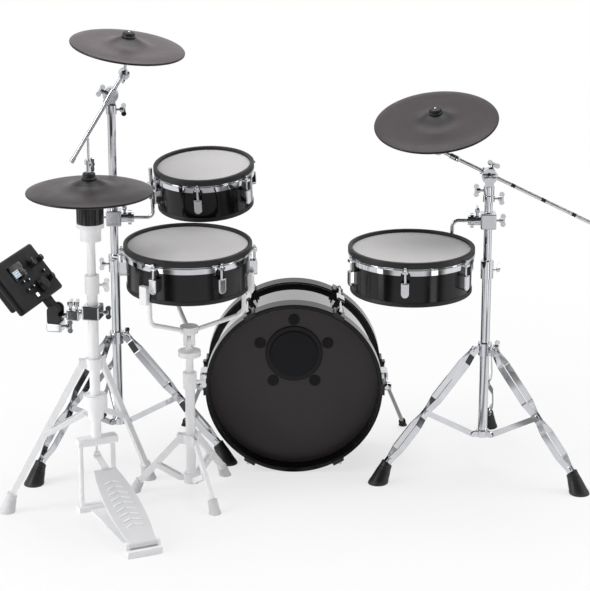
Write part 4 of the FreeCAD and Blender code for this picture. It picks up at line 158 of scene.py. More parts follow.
def pad_place(pad):
    """Frame in the middle of a pad's rim, with Z out of its head and X to the right."""
    normal = leaning(*PADS[pad]["lean"])
    if pad == "snare":
        return place_at(joint_place("snare_basket_tilt") + UPRIGHT * SNARE_ABOVE_TILT, normal, TO_RIGHT)
    rise, bracket_angle = ROD_CORNERS[pad]
    reach = PADS[pad]["diameter"] / 2 + BRACKET_OUT
    to_middle = UPRIGHT * rise - flat_way(bracket_angle) * reach
    return place_at(joint_place(pad + "_swivel"), normal, TO_RIGHT) @ Matrix.Translation(to_middle * MM)


def cymbal_place(name):
    """Frame in the middle of a cymbal pad's rim, with Z up through its bell."""
    normal = leaning(*CYMBALS[name]["lean"])
    if name == "hihat_cymbal":
        middle = floor_under(hihat_axis()) + UPRIGHT * HIHAT_RIM_HEIGHT
    else:
        middle = joint_place(name + "_swing") - normal * (CYMBALS[name]["bell"] - SWING_BELOW_BELL)
    return place_at(middle, normal, TO_RIGHT)


def boom_place(back):
    """Frame on the right boom's axis, back from the cymbal tilter, with Z along the rod towards it."""
    along = joint_axis("right_boom_slide")
    return place_at(joint_place("right_cymbal_tilt") - along * back, along, Vector((0, 1, 0)))


def cushion_middle():
    """A place on the axis of the cushion that the kick's beater strikes, halfway between the spurs."""
    halfway = joint_place("kick_spur_left_fold").lerp(joint_place("kick_spur_right_fold"), 0.5)
    return floor_under(halfway) + UPRIGHT * CUSHION_HEIGHT


def panel_place(share_across, share_down, height):
    """Frame on the module's panel, from shares of its width and length counted from the upper left corner."""
    normal = joint_axis("module_dial_turn")
    across = joint_axis("module_tilt")
    from_hinge = Vector((
        (share_across - HINGE_SHARE) * MODULE_WIDTH,
        (1 - share_down) * MODULE_LENGTH + HINGE_BELOW_EDGE,
        HINGE_UNDER_FACE + height))
    return place_at(joint_place("module_tilt"), normal, across) @ Matrix.Translation(from_hinge * MM)


def pedal_place():
    """Frame at the heel hinge, with X along the footboard to its toe and Z out of its upper face."""
    rise = math.radians(PEDAL_RISE)
    toe_way = joint_axis("hihat_pedal").cross(UPRIGHT)
    along = toe_way * math.cos(rise) + UPRIGHT * math.sin(rise)
    out = UPRIGHT * math.cos(rise) - toe_way * math.sin(rise)
    return place_at(joint_place("hihat_pedal"), out, along)


# Materials

def linear(colour):
    """An sRGB hex colour as linear red, green, blue and alpha."""
    shares = [int(colour[start:start + 2], 16) / 255 for start in (1, 3, 5)]
    return [s / 12.92 if s <= 0.04045 else ((s + 0.055) / 1.055) ** 2.4 for s in shares] + [1.0]


def per(size):
    """Scale of a noise or cell pattern whose features are size millimetres across."""
    return 1 / (size * MM)


def pitch(size):
    """Scale of a wave pattern whose lines are size millimetres apart."""
    return math.pi / (10 * size * MM)


def put(tree, kind, feeds=None, **settings):
    """Adds one node with its settings, and gives its outputs.

    A feed is a socket's own value, or the output of another node that is linked to it.
    """
    made = tree.nodes.new("ShaderNode" + kind)
    for name, value in settings.items():
        setattr(made, name, value)
    for socket, value in (feeds or {}).items():
        if isinstance(value, bpy.types.NodeSocket):
            tree.links.new(value, made.inputs[socket])
        else:
            made.inputs[socket].default_value = value
    return made.outputs


def new_finish(name, place=None):
    """An empty material, its node tree, and the Object coordinates that its patterns follow.

    With a place they are counted from there, along its own X, Y and Z.
    """
    material = bpy.data.materials.new(name)
    material.use_nodes = True
    tree = material.node_tree
    tree.nodes.clear()
    spot = put(tree, "TexCoord")["Object"]
    if place is not None:
        spot = put(tree, "Mapping", {
            "Vector": spot, "Location": place.translation, "Rotation": place.to_euler()},
            vector_type="TEXTURE")["Vector"]
    return material, tree, spot


def end_with(tree, shader):
    put(tree, "OutputMaterial", {"Surface": shader[0]})


def clouded_skin(name, colours, cloud, rough, grain, relief, sockets):
    """A skin that soft clouds shade in colour and in gloss, with a finer noise as its relief.

    A cloud has a size, detail and roughness, and a grain its size and detail. Rough is the range of the
    clouds, and the roughness at either end of it.
    """
    material, tree, spot = new_finish(name)
    clouds = put(tree, "TexNoise", {
        "Vector": spot, "Scale": per(cloud[0]), "Detail": cloud[1], "Roughness": cloud[2]})
    tint = put(tree, "Mix", {
        0: clouds["Fac"], 6: linear(colours[0]), 7: linear(colours[1])}, data_type="RGBA")
    dull = put(tree, "MapRange", {
        "Value": clouds["Fac"], "From Min": rough[0], "From Max": rough[1],
        "To Min": rough[2], "To Max": rough[3]})
    fine = put(tree, "TexNoise", {"Vector": spot, "Scale": per(grain[0]), "Detail": grain[1]})
    bump = put(tree, "Bump", {"Height": fine["Fac"], "Strength": relief, "Distance": 0.2 * MM})
    end_with(tree, put(tree, "BsdfPrincipled", {
        "Base Color": tint[2], "Roughness": dull["Result"],
        "Normal": bump["Normal"], **sockets}))
    return material


def chrome_plate(name, colour, smear_size, clean, smeared):
    """Chrome on polished steel: a mirror that wiping and fingers have dulled in soft patches.

    The polish leaves a faint waviness, some 9 mm from crest to crest.
    """
    return clouded_skin(
        name, (colour, "#c3c5ca"), cloud=(smear_size, 4.0, 0.6), rough=(0.38, 0.72, clean, smeared),
        grain=(9, 1.0), relief=0.05, sockets={"Metallic": 1.0})


def polished_wrap(name, colour, dusty, rough, shine, coat=0.0):
    """Black polyester wrap, buffed: deep gloss with a faint orange peel and the bloom of dust in patches."""
    return clouded_skin(
        name, (colour, dusty), cloud=(60, 5.0, 0.65), rough=(0.4, 0.75, rough, rough + 0.07),
        grain=(4, 1.0), relief=0.035, sockets={
            "IOR": 1.5, "Specular IOR Level": shine, "Coat Weight": coat, "Coat Roughness": 0.03})


def coated_film(name, dark, light):
    """Coated polyester drum film: dark with a satin, sandy coat, a touch paler in wide, soft clouds."""
    return clouded_skin(
        name, (dark, light), cloud=(120, 4.0, 0.55), rough=(0.3, 0.7, 0.3, 0.4),
        grain=(1.4, 2.0), relief=0.12, sockets={"IOR": 1.55, "Specular IOR Level": 0.3})


def powder_coat(name, colour, shade):
    """Powder coat on steel: pale and satin, with the soft orange peel that baked powder has."""
    return clouded_skin(
        name, (colour, shade), cloud=(80, 6.0, 0.6), rough=(0.3, 0.7, 0.3, 0.42),
        grain=(2.5, 1.0), relief=0.12, sockets={"IOR": 1.5})


def marked_rod(name, low_end, spacing, count, low_edge, high_edge):
    """Chrome rod with black rings painted over its grooves, which mark how far the boom is pulled out."""
    material, tree, spot = new_finish(name)
    local = put(tree, "Mapping", {
        "Vector": spot, "Location": low_end.translation, "Rotation": low_end.to_euler()},
        vector_type="TEXTURE")["Vector"]
    reach = put(tree, "SeparateXYZ", {"Vector": local})["Z"]
    step = put(tree, "Math", {0: reach, 1: (spacing + low_edge) * MM}, operation="SUBTRACT")[0]
    after = put(tree, "Math", {0: step, 1: spacing * MM}, operation="FLOORED_MODULO")[0]
    in_ring = put(tree, "Math", {0: after, 1: (high_edge - low_edge) * MM}, operation="LESS_THAN")[0]
    past_first = put(tree, "Math", {0: step, 1: 0.0}, operation="GREATER_THAN")[0]
    before_last = put(tree, "Math", {
        0: step, 1: (count - 0.5) * spacing * MM}, operation="LESS_THAN")[0]
    marked = put(tree, "Math", {0: past_first, 1: before_last}, operation="MULTIPLY")[0]
    ring = put(tree, "Math", {0: in_ring, 1: marked}, operation="MULTIPLY")[0]
    smear = put(tree, "TexNoise", {"Vector": spot, "Scale": per(35), "Detail": 4.0, "Roughness": 0.6})
    plate = put(tree, "Mix", {
        0: smear["Fac"], 6: linear("#f4f4f6"), 7: linear("#e2e3e6")}, data_type="RGBA")
    tint = put(tree, "Mix", {0: ring, 6: plate[2], 7: linear("#121213")}, data_type="RGBA")
    metal = put(tree, "Math", {0: 1.0, 1: ring}, operation="SUBTRACT")[0]
    worn = put(tree, "MapRange", {
        "Value": smear["Fac"], "From Min": 0.38, "From Max": 0.72,
        "To Min": 0.3, "To Max": 0.38})["Result"]
    dull = put(tree, "Mix", {0: ring, 2: worn, 3: 0.4}, data_type="FLOAT")
    end_with(tree, put(tree, "BsdfPrincipled", {
        "Base Color": tint[2], "Metallic": metal, "Roughness": dull[0]}))
    return material


def moulded(name, dark, light, grain, depth, rough, rough_end, shine=0.5):
    """Moulded rubber or plastic: a fine eroded grain from the mould, with rubbed and greasy patches."""
    material, tree, spot = new_finish(name)
    patch = put(tree, "TexNoise", {"Vector": spot, "Scale": per(45), "Detail": 6.0, "Roughness": 0.6})
    tint = put(tree, "Mix", {0: patch["Fac"], 6: linear(dark), 7: linear(light)}, data_type="RGBA")
    dull = put(tree, "MapRange", {
        "Value": patch["Fac"], "From Min": 0.3, "From Max": 0.7,
        "To Min": rough, "To Max": rough_end})
    pits = put(tree, "TexVoronoi", {"Vector": spot, "Scale": per(grain)}, feature="SMOOTH_F1")
    bump = put(tree, "Bump", {"Height": pits["Distance"], "Strength": 0.35, "Distance": depth * MM})
    end_with(tree, put(tree, "BsdfPrincipled", {
        "Base Color": tint[2], "Roughness": dull["Result"], "IOR": 1.52,
        "Specular IOR Level": shine, "Normal": bump["Normal"]}))
    return material


def woven_mesh(name, place):
    """Two-ply polyester drum mesh, stretched: pale threads cross over dark pinholes, with a soft sheen.

    Real threads lie 0.5 mm apart; here they are 2 mm apart, so that the weave shows.
    """
    material, tree, flat = new_finish(name, place)
    warp = put(tree, "TexWave", {"Vector": flat, "Scale": pitch(2.0)}, bands_direction="X")
    weft = put(tree, "TexWave", {"Vector": flat, "Scale": pitch(2.0)}, bands_direction="Y")
    cloth = put(tree, "Math", {0: warp["Fac"], 1: weft["Fac"]}, operation="MAXIMUM")
    worn = put(tree, "TexNoise", {"Vector": flat, "Scale": per(70), "Detail": 5.0, "Roughness": 0.6})
    thread = put(tree, "Mix", {
        0: worn["Fac"], 6: linear("#cfcdce"), 7: linear("#c4c2c3")}, data_type="RGBA")
    hole = put(tree, "MapRange", {"Value": cloth[0], "From Min": 0.0, "From Max": 0.75})
    tint = put(tree, "Mix", {
        0: hole["Result"], 6: linear("#9c9a9b"), 7: thread[2]}, data_type="RGBA")
    bump = put(tree, "Bump", {"Height": cloth[0], "Strength": 0.3, "Distance": 0.3 * MM})
    end_with(tree, put(tree, "BsdfPrincipled", {
        "Base Color": tint[2], "Roughness": 0.62, "IOR": 1.5, "Sheen Weight": 0.15,
        "Normal": bump["Normal"]}))
    return material


def cushion_rubber(name, middle, disc_radius, pad_radius):
    """Cast foam rubber of the kick's cushion: a blue-black striking disc, a paler border, painted shade in
    its grooves.
    """
    material, tree, spot = new_finish(name)
    local = put(tree, "Mapping", {
        "Vector": spot, "Location": middle * MM}, vector_type="TEXTURE")["Vector"]
    upright = put(tree, "VectorMath", {0: local, 1: (1, 0, 1)}, operation="MULTIPLY")["Vector"]
    reach = put(tree, "VectorMath", {0: upright}, operation="LENGTH")["Value"]
    on_border = put(tree, "MapRange", {
        "Value": reach, "From Min": disc_radius * MM, "From Max": (disc_radius + 0.8) * MM})["Result"]
    from_middle = put(tree, "Math", {
        0: reach, 1: (disc_radius + pad_radius) / 2 * MM}, operation="SUBTRACT")[0]
    off_middle = put(tree, "Math", {0: from_middle}, operation="ABSOLUTE")[0]
    # The border has a groove along each of its edges, painted as a near-black line of shade
    half = (pad_radius - disc_radius) / 2
    groove = put(tree, "MapRange", {
        "Value": off_middle, "From Min": (half - 2.2) * MM, "From Max": (half - 1.2) * MM})["Result"]
    in_pad = put(tree, "Math", {0: reach, 1: (pad_radius + 0.5) * MM}, operation="LESS_THAN")[0]
    line = put(tree, "Math", {0: groove, 1: on_border}, operation="MULTIPLY")[0]
    pore = put(tree, "TexNoise", {"Vector": spot, "Scale": per(2.4), "Detail": 4.0, "Roughness": 0.7})
    disc = put(tree, "Mix", {
        0: pore["Fac"], 6: linear("#111217"), 7: linear("#1a1b21")}, data_type="RGBA")
    border = put(tree, "Mix", {0: in_pad, 6: linear("#171516"), 7: linear("#242122")}, data_type="RGBA")
    zone = put(tree, "Mix", {0: on_border, 6: disc[2], 7: border[2]}, data_type="RGBA")
    # Near-black painted shade in the grooves along the border's edges
    painted_groove_shade = put(tree, "Math", {0: line, 1: in_pad}, operation="MULTIPLY")[0]
    tint = put(tree, "Mix", {0: painted_groove_shade, 6: zone[2], 7: linear("#050506")}, data_type="RGBA")
    dull = put(tree, "MapRange", {
        "Value": pore["Fac"], "From Min": 0.3, "From Max": 0.7, "To Min": 0.55, "To Max": 0.8})
    bump = put(tree, "Bump", {"Height": pore["Fac"], "Strength": 0.3, "Distance": 0.4 * MM})
    end_with(tree, put(tree, "BsdfPrincipled", {
        "Base Color": tint[2], "Roughness": dull["Result"], "IOR": 1.5,
        "Specular IOR Level": 0.25, "Normal": bump["Normal"]}))
    return material


def turned_rubber(name, place, dark, light, cup, bell, shine):
    """Cymbal rubber: a satin charcoal skin with fine turned rings, rubbed paler where the stick strikes.

    Real rings lie under a millimetre apart; here they are 3 mm apart, so that they show. The edge below the
    playing face is painted black, partly the dark moulded edge and partly painted shade; the cup is painted
    black as shade, and from there the bell pales out to its foot, a painted shade that darkens the bell
    inwards.
    """
    material, tree, flat = new_finish(name, place)
    rings = put(tree, "TexWave", {
        "Vector": flat, "Scale": pitch(3.0)}, wave_type="RINGS", rings_direction="Z")
    rub = put(tree, "TexNoise", {"Vector": flat, "Scale": per(55), "Detail": 6.0, "Roughness": 0.65})
    share = put(tree, "Math", {
        0: rings["Fac"], 1: 0.18, 2: rub["Fac"]}, operation="MULTIPLY_ADD")
    face = put(tree, "Mix", {0: share[0], 6: linear(dark), 7: linear(light)}, data_type="RGBA")
    sides = put(tree, "SeparateXYZ", {"Vector": flat})
    # Painted black below the rim's top: partly the dark moulded edge, partly painted shade on the edge and
    # the underside
    above_edge_shade = put(tree, "MapRange", {
        "Value": sides["Z"], "From Min": -0.9 * MM, "From Max": -0.3 * MM})
    across = put(tree, "VectorMath", {0: flat, 1: (1, 1, 0)}, operation="MULTIPLY")["Vector"]
    reach = put(tree, "VectorMath", {0: across}, operation="LENGTH")["Value"]
    # Painted shade: black out to the cup's edge, then fading out across the bell to its foot
    past_cup_and_bell_shade = put(tree, "MapRange", {"Value": reach, "From Min": (cup - 1) * MM, "From Max": bell * MM})
    playing = put(tree, "Math", {
        0: above_edge_shade["Result"], 1: past_cup_and_bell_shade["Result"]}, operation="MULTIPLY")
    # The black of the edge, the cup and the painted bell shade; playing is the share of face colour outside
    # it
    tint = put(tree, "Mix", {
        0: playing[0], 6: linear("#0d0c0d"), 7: face[2]}, data_type="RGBA")
    dull = put(tree, "MapRange", {
        "Value": rub["Fac"], "From Min": 0.3, "From Max": 0.7, "To Min": 0.34, "To Max": 0.48})
    bump = put(tree, "Bump", {"Height": rings["Fac"], "Strength": 0.22, "Distance": 0.25 * MM})
    end_with(tree, put(tree, "BsdfPrincipled", {
        "Base Color": tint[2], "Roughness": dull["Result"], "IOR": 1.52,
        "Specular IOR Level": shine, "Normal": bump["Normal"]}))
    return material


def scuffed_rubber(name, dark, dust):
    """Moulded rubber feet: dull black, grey with dust and scuffs in the last 15 mm above the floor."""
    material, tree, spot = new_finish(name)
    height = put(tree, "SeparateXYZ", {"Vector": spot})["Z"]
    low = put(tree, "MapRange", {
        "Value": height, "From Min": 0.0, "From Max": 15 * MM, "To Min": 0.8, "To Max": 0.1})
    scuff = put(tree, "TexNoise", {"Vector": spot, "Scale": per(6), "Detail": 6.0, "Roughness": 0.7})
    share = put(tree, "Math", {0: scuff["Fac"], 1: low["Result"]}, operation="MULTIPLY")
    tint = put(tree, "Mix", {0: share[0], 6: linear(dark), 7: linear(dust)}, data_type="RGBA")
    dull = put(tree, "MapRange", {"Value": share[0], "To Min": 0.42, "To Max": 0.8})
    bump = put(tree, "Bump", {"Height": scuff["Fac"], "Strength": 0.15, "Distance": 0.3 * MM})
    end_with(tree, put(tree, "BsdfPrincipled", {
        "Base Color": tint[2], "Roughness": dull["Result"], "IOR": 1.52,
        "Normal": bump["Normal"]}))
    return material


def pull_rod_steel(name, join_height):
    """Hi-hat rod: bright polished steel above the pad, and below it the stand's white coat."""
    material, tree, spot = new_finish(name)
    height = put(tree, "SeparateXYZ", {"Vector": spot})["Z"]
    bright = put(tree, "Math", {0: height, 1: join_height * MM}, operation="GREATER_THAN")[0]
    draw = put(tree, "TexNoise", {"Vector": spot, "Scale": per(20), "Detail": 5.0})
    steel = put(tree, "Mix", {
        0: draw["Fac"], 6: linear("#d8d9dc"), 7: linear("#c0c2c6")}, data_type="RGBA")
    coat = put(tree, "Mix", {
        0: draw["Fac"], 6: linear("#f7f7f8"), 7: linear("#f0f0f2")}, data_type="RGBA")
    tint = put(tree, "Mix", {0: bright, 6: coat[2], 7: steel[2]}, data_type="RGBA")
    dull = put(tree, "MapRange", {"Value": bright, "To Min": 0.36, "To Max": 0.1})
    bump = put(tree, "Bump", {"Height": draw["Fac"], "Strength": 0.05, "Distance": 0.2 * MM})
    end_with(tree, put(tree, "BsdfPrincipled", {
        "Base Color": tint[2], "Metallic": bright, "Roughness": dull["Result"],
        "Normal": bump["Normal"]}))
    return material


def clamp_casting(name, hinge, half_width, half_depth, foot):
    """Module clamp: chrome jaw and arm, with the hinge bracket moulded in black nylon."""
    material, tree, spot = new_finish(name)
    local = put(tree, "Mapping", {
        "Vector": spot, "Location": hinge.translation, "Rotation": hinge.to_euler()},
        vector_type="TEXTURE")["Vector"]
    away = put(tree, "VectorMath", {0: local}, operation="ABSOLUTE")["Vector"]
    sides = put(tree, "SeparateXYZ", {"Vector": away})
    height = put(tree, "SeparateXYZ", {"Vector": local})["Z"]
    in_width = put(tree, "Math", {
        0: sides["X"], 1: half_width * MM}, operation="LESS_THAN")[0]
    in_depth = put(tree, "Math", {
        0: sides["Y"], 1: half_depth * MM}, operation="LESS_THAN")[0]
    above_jaw = put(tree, "Math", {0: height, 1: foot * MM}, operation="GREATER_THAN")[0]
    beside = put(tree, "Math", {0: in_width, 1: in_depth}, operation="MULTIPLY")[0]
    bracket = put(tree, "Math", {0: beside, 1: above_jaw}, operation="MULTIPLY")[0]
    smear = put(tree, "TexNoise", {"Vector": spot, "Scale": per(25), "Detail": 4.0})
    plate = put(tree, "Mix", {
        0: smear["Fac"], 6: linear("#dadbde"), 7: linear("#c3c5ca")}, data_type="RGBA")
    nylon = put(tree, "Mix", {
        0: smear["Fac"], 6: linear("#17171a"), 7: linear("#26262a")}, data_type="RGBA")
    tint = put(tree, "Mix", {0: bracket, 6: plate[2], 7: nylon[2]}, data_type="RGBA")
    metal = put(tree, "Math", {0: 1.0, 1: bracket}, operation="SUBTRACT")[0]
    dull = put(tree, "MapRange", {"Value": bracket, "To Min": 0.08, "To Max": 0.48})
    end_with(tree, put(tree, "BsdfPrincipled", {
        "Base Color": tint[2], "Metallic": metal, "Roughness": dull["Result"]}))
    return material


def lit_display(name, place, glow):
    """Small lit display: pale blue-white, with plain dark rows where a menu stands."""
    material, tree, spot = new_finish(name, place)
    rows = put(tree, "TexBrick", {
        "Vector": spot, "Color1": linear("#cfe3f1"), "Color2": linear("#dbeaf4"),
        "Mortar": linear("#6f8796"), "Scale": 1.0, "Mortar Size": 0.7 * MM,
        "Brick Width": 17 * MM, "Row Height": 6 * MM})
    end_with(tree, put(tree, "BsdfPrincipled", {
        "Base Color": linear("#10161a"), "Roughness": 0.12, "Emission Color": rows["Color"],
        "Emission Strength": glow}))
    return material


def lit_plastic(name, colour, glow):
    """Backlit translucent button: milky, and whiter in the soft patches of its diffuser."""
    material, tree, spot = new_finish(name)
    cloud = put(tree, "TexNoise", {"Vector": spot, "Scale": per(5), "Detail": 2.0})
    light = put(tree, "Mix", {
        0: cloud["Fac"], 6: linear(colour), 7: linear("#ffffff")}, data_type="RGBA")
    end_with(tree, put(tree, "BsdfPrincipled", {
        "Base Color": light[2], "Roughness": 0.4, "Emission Color": light[2],
        "Emission Strength": glow}))
    return material


def wool_felt(name, dark, light):
    """Pressed wool felt: fuzzy dark grey, with loose fibres that catch the light."""
    material, tree, spot = new_finish(name)
    fibre = put(tree, "TexNoise", {"Vector": spot, "Scale": per(1.2), "Detail": 8.0, "Roughness": 0.75})
    tint = put(tree, "Mix", {0: fibre["Fac"], 6: linear(dark), 7: linear(light)}, data_type="RGBA")
    bump = put(tree, "Bump", {"Height": fibre["Fac"], "Strength": 0.6, "Distance": 0.6 * MM})
    end_with(tree, put(tree, "BsdfPrincipled", {
        "Base Color": tint[2], "Roughness": 0.95, "Sheen Weight": 0.5,
        "Normal": bump["Normal"]}))
    return material


chrome = chrome_plate("chrome_plated_steel", "#dfe0e3", smear_size=35, clean=0.04, smeared=0.12)
rod_chrome = chrome_plate("satin_chrome_rod", "#cdced2", smear_size=35, clean=0.2, smeared=0.28)
cast_chrome = chrome_plate("chrome_plated_casting", "#d6d7db", smear_size=14, clean=0.07, smeared=0.18)
marked_chrome = marked_rod(
    "ring_marked_chrome_rod", boom_place(RIGHT_BOOM_LENGTH),
    spacing=92, count=3, low_edge=-3.5, high_edge=8.5)
module_clamp_finish = clamp_casting(
    "chrome_and_nylon_clamp", place_at(joint_place("module_tilt"), UPRIGHT, joint_axis("module_tilt")),
    half_width=22.6, half_depth=15.3, foot=-30.0)
rod_steel = pull_rod_steel("polished_pull_rod", join_height=880)

shell_wrap = polished_wrap("black_polyester_wrap", "#060607", "#0b0b0c", rough=0.12, shine=0.34)
kick_wrap = polished_wrap("black_polyester_kick_wrap", "#0b0b0c", "#131315", rough=0.06, shine=0.8, coat=1.0)
hoop_lacquer = polished_wrap("black_lacquered_maple_hoop", "#080809", "#0e0e0f", rough=0.12, shine=0.22)
claw_enamel = polished_wrap("black_enamelled_casting", "#0c0c0d", "#161618", rough=0.2, shine=0.4)
sensor_abs = polished_wrap("gloss_moulded_abs", "#0a0a0b", "#121213", rough=0.1, shine=0.5)
window_acrylic = polished_wrap("smoked_acrylic_window", "#060708", "#0a0b0d", rough=0.04, shine=0.5)

# Moulded pieces: the grain's size and depth, and the roughness from the rubbed patches to the dull ones
rim_rubber = moulded("moulded_rim_rubber", "#131314", "#1f1f21", 1.6, 0.25, 0.42, 0.6)
trim_rubber = moulded("extruded_trim_rubber", "#161617", "#212123", 1.2, 0.2, 0.5, 0.65)
cap_nylon = moulded("moulded_nylon", "#0f0f10", "#1b1b1d", 1.0, 0.15, 0.35, 0.5)
case_abs = moulded("spark_textured_abs", "#0f0f12", "#17171b", 1.1, 0.2, 0.42, 0.55, shine=0.3)
key_silicone = moulded("silicone_keypad", "#222327", "#303136", 1.0, 0.12, 0.5, 0.65)
pale_rubber = moulded("pale_moulded_rubber", "#d4d4d6", "#dfdfe1", 1.4, 0.25, 0.5, 0.65)

cushion_foam = cushion_rubber("cast_foam_rubber", cushion_middle(), disc_radius=64, pad_radius=78)
foot_rubber = scuffed_rubber("scuffed_foot_rubber", "#131314", "#4a4a4b")
batter_film = coated_film("coated_drum_film", "#2a2526", "#322c2d")
front_film = coated_film("gloss_drum_film", "#101011", "#161617")
white_coat = powder_coat("white_powder_coat", "#fcfcfd", "#f6f6f8")
board_coat = powder_coat("grey_powder_coat", "#e8e8ea", "#dfdfe2")
pointer_paint = powder_coat("white_pad_print", "#e8e8e8", "#dcdcdc")
felt = wool_felt("pressed_wool_felt", "#1d1d1e", "#3a3a3c")
lit_key = lit_plastic("backlit_key", "#e6eef5", glow=0.75)

# Cup is where the painted black shade of the cup ends, bell is where the painted shade on the bell fades out
crash_rubber = turned_rubber(
    "crash_turned_rubber", cymbal_place("crash_cymbal"), "#453c3f", "#594f53", cup=17, bell=60, shine=0.5)
ride_rubber = turned_rubber(
    "ride_turned_rubber", cymbal_place("ride_cymbal"), "#2c2628", "#3a3135", cup=17, bell=66, shine=0.4)
hihat_rubber = turned_rubber(
    "hihat_turned_rubber", cymbal_place("hihat_cymbal"), "#292426", "#362f32", cup=44, bell=45, shine=0.4)

NODE_FINISHES = {
    "kick_shell": kick_wrap, "kick_hoops": hoop_lacquer, "kick_batter_head": batter_film,
    "kick_front_head": front_film, "kick_sensor_pad": cushion_foam, "kick_claws": claw_enamel,
    "kick_lugs": cast_chrome, "kick_spur_left": chrome, "kick_spur_right": chrome,
    "left_boom_rod": rod_chrome, "right_boom_rod": marked_chrome,
    "crash_cymbal": crash_rubber, "ride_cymbal": ride_rubber, "hihat_cymbal": hihat_rubber,
    "hihat_stand": white_coat, "hihat_footboard": board_coat, "hihat_rod": rod_steel,
    "hihat_sensor_unit": sensor_abs, "snare_stand_base": white_coat, "snare_stand_basket": white_coat,
    "module_case": case_abs, "module_dial": cap_nylon, "module_buttons": key_silicone,
    "module_clamp": module_clamp_finish,
}
for pad in PADS:
    NODE_FINISHES[pad + "_shell"] = shell_wrap
    NODE_FINISHES[pad + "_hoop"] = chrome
    NODE_FINISHES[pad + "_rim"] = rim_rubber
    NODE_FINISHES[pad + "_head"] = woven_mesh(pad + "_woven_mesh", pad_place(pad))
CAST_PARTS = ("leg_collar", "boom_tilter", "cymbal_tilter", "tom_mount")
DRAWN_PARTS = ("column", "leg_a", "leg_b", "leg_c", "strut_a", "strut_b", "strut_c", "upper_tube")
for stand in ("left_", "right_"):
    NODE_FINISHES.update({stand + part: cast_chrome for part in CAST_PARTS})
    NODE_FINISHES.update({stand + part: chrome for part in DRAWN_PARTS})

for name, node in frame["nodes"].items():
    node.data.materials.clear()
    node.data.materials.append(NODE_FINISHES[name])


# Shaping helpers

def lathe(outline, steps=48, closed=False):
    """Spins an outline of radii and heights, in millimetres, about Z."""
    mesh = bmesh.new()
    corners = [mesh.verts.new((radius * MM, 0, height * MM)) for radius, height in outline]
    sides = [mesh.edges.new(pair) for pair in zip(corners, corners[1:])]
    if closed:
        sides.append(mesh.edges.new((corners[-1], corners[0])))
    bmesh.ops.spin(mesh, geom=corners + sides, cent=(0, 0, 0), axis=(0, 0, 1), angle=math.tau, steps=steps,
                   use_merge=True)
    bmesh.ops.remove_doubles(mesh, verts=mesh.verts, dist=0.01 * MM)
    bmesh.ops.recalc_face_normals(mesh, faces=mesh.faces)
    return mesh


def soft_box(width, depth, height, round_off, segments=3):
    """A block on the XY plane with rounded edges, in millimetres."""
    mesh = bmesh.new()
    bmesh.ops.create_cube(mesh, size=MM)
    bmesh.ops.scale(mesh, vec=(width, depth, height), verts=mesh.verts)
    bmesh.ops.translate(mesh, vec=(0, 0, height / 2 * MM), verts=mesh.verts)
    bmesh.ops.bevel(mesh, geom=mesh.edges[:], offset=round_off * MM, affect="EDGES", segments=segments,
                    profile=0.5, material=-1)
    return mesh


def flute(mesh, count, steps, radius, depth, low, high):
    """Presses flutes into a lathed grip, one column of corners each, between two heights."""
    for corner in mesh.verts:
        reach = math.hypot(corner.co.x, corner.co.y)
        if reach < radius * MM or not low * MM <= corner.co.z <= high * MM:
            continue
        column = round(math.atan2(corner.co.y, corner.co.x) / math.tau * steps)
        if column % (steps // count) == 0:
            share = 1 - depth * MM / reach
            corner.co.x *= share
            corner.co.y *= share


def gather(meshes):
    """Joins several small shapes into one mesh."""
    whole = bmesh.new()
    for mesh in meshes:
        part = bpy.data.meshes.new("part")
        mesh.to_mesh(part)
        mesh.free()
        whole.from_mesh(part)
        bpy.data.meshes.remove(part)
    return whole


def moved(mesh, place):
    mesh.transform(place)
    return mesh


def shift(x, y, z):
    return Matrix.Translation(Vector((x, y, z)) * MM)


def turned(angle):
    return Matrix.Rotation(math.radians(angle), 4, "Z")


def settle(mesh, name, body, finish, crease=35):
    """Makes a mesh that is in its place an object that rides on a body."""
    data = bpy.data.meshes.new(name)
    mesh.to_mesh(data)
    mesh.free()
    data.materials.append(finish)
    data.polygons.foreach_set("use_smooth", [True] * len(data.polygons))
    data.set_sharp_from_angle(angle=math.radians(crease))
    piece = bpy.data.objects.new(name, data)
    bpy.context.scene.collection.objects.link(piece)
    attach(piece, body)


# Rubber feet

# Outline: shares of the way down, and how far the wall stands out from the leg's plain boot
FOOT_LIP = ((0.0, -2.5), (0.0, 0.6), (0.03, 1.6), (0.08, 1.7), (0.11, 0.9))
FOOT_GROOVE = ((0.0, 0.9), (0.018, 0.2), (0.042, 0.2), (0.06, 0.9))
FOOT_WELT = ((0.82, 0.9), (0.86, 1.8), (0.97, 1.9), (1.0, 0.8))
FIRST_GROOVE = 0.2
GROOVE_SPACING = 0.1
# How far the sole is drawn back from the leg's tip to the spot under the foot's top
FOOT_UPRIGHT_SHARE = 0.42


def rubber_foot(tip, top, top_radius, sole_radius, grooves=2):
    """Boot over the end of a leg: a rolled lip, moulded grooves and a welt round its flat sole."""
    sole = tip.lerp(floor_under(top), FOOT_UPRIGHT_SHARE)
    along = (tip - top).normalized()
    stations = list(FOOT_LIP)
    for step in range(grooves):
        start = FIRST_GROOVE + GROOVE_SPACING * step
        stations += [(start + share, proud) for share, proud in FOOT_GROOVE]
    stations += FOOT_WELT
    foot = bmesh.new()
    loops = []
    for share, proud in stations:
        radius = top_radius + (sole_radius - top_radius) * share + proud
        way = along.lerp(-UPRIGHT, share).normalized()
        place = place_at(top.lerp(sole, share), -way, TO_RIGHT)
        made = bmesh.ops.create_circle(foot, segments=40, radius=radius * MM, matrix=place)["verts"]
        loops.append([edge for edge in foot.edges if edge.verts[0] in made and edge.verts[1] in made])
    for upper, lower in zip(loops, loops[1:]):
        bmesh.ops.bridge_loops(foot, edges=upper + lower)
    bmesh.ops.edgeloop_fill(foot, edges=loops[0])
    bmesh.ops.edgeloop_fill(foot, edges=loops[-1])
    bmesh.ops.recalc_face_normals(foot, faces=foot.faces)
    return foot


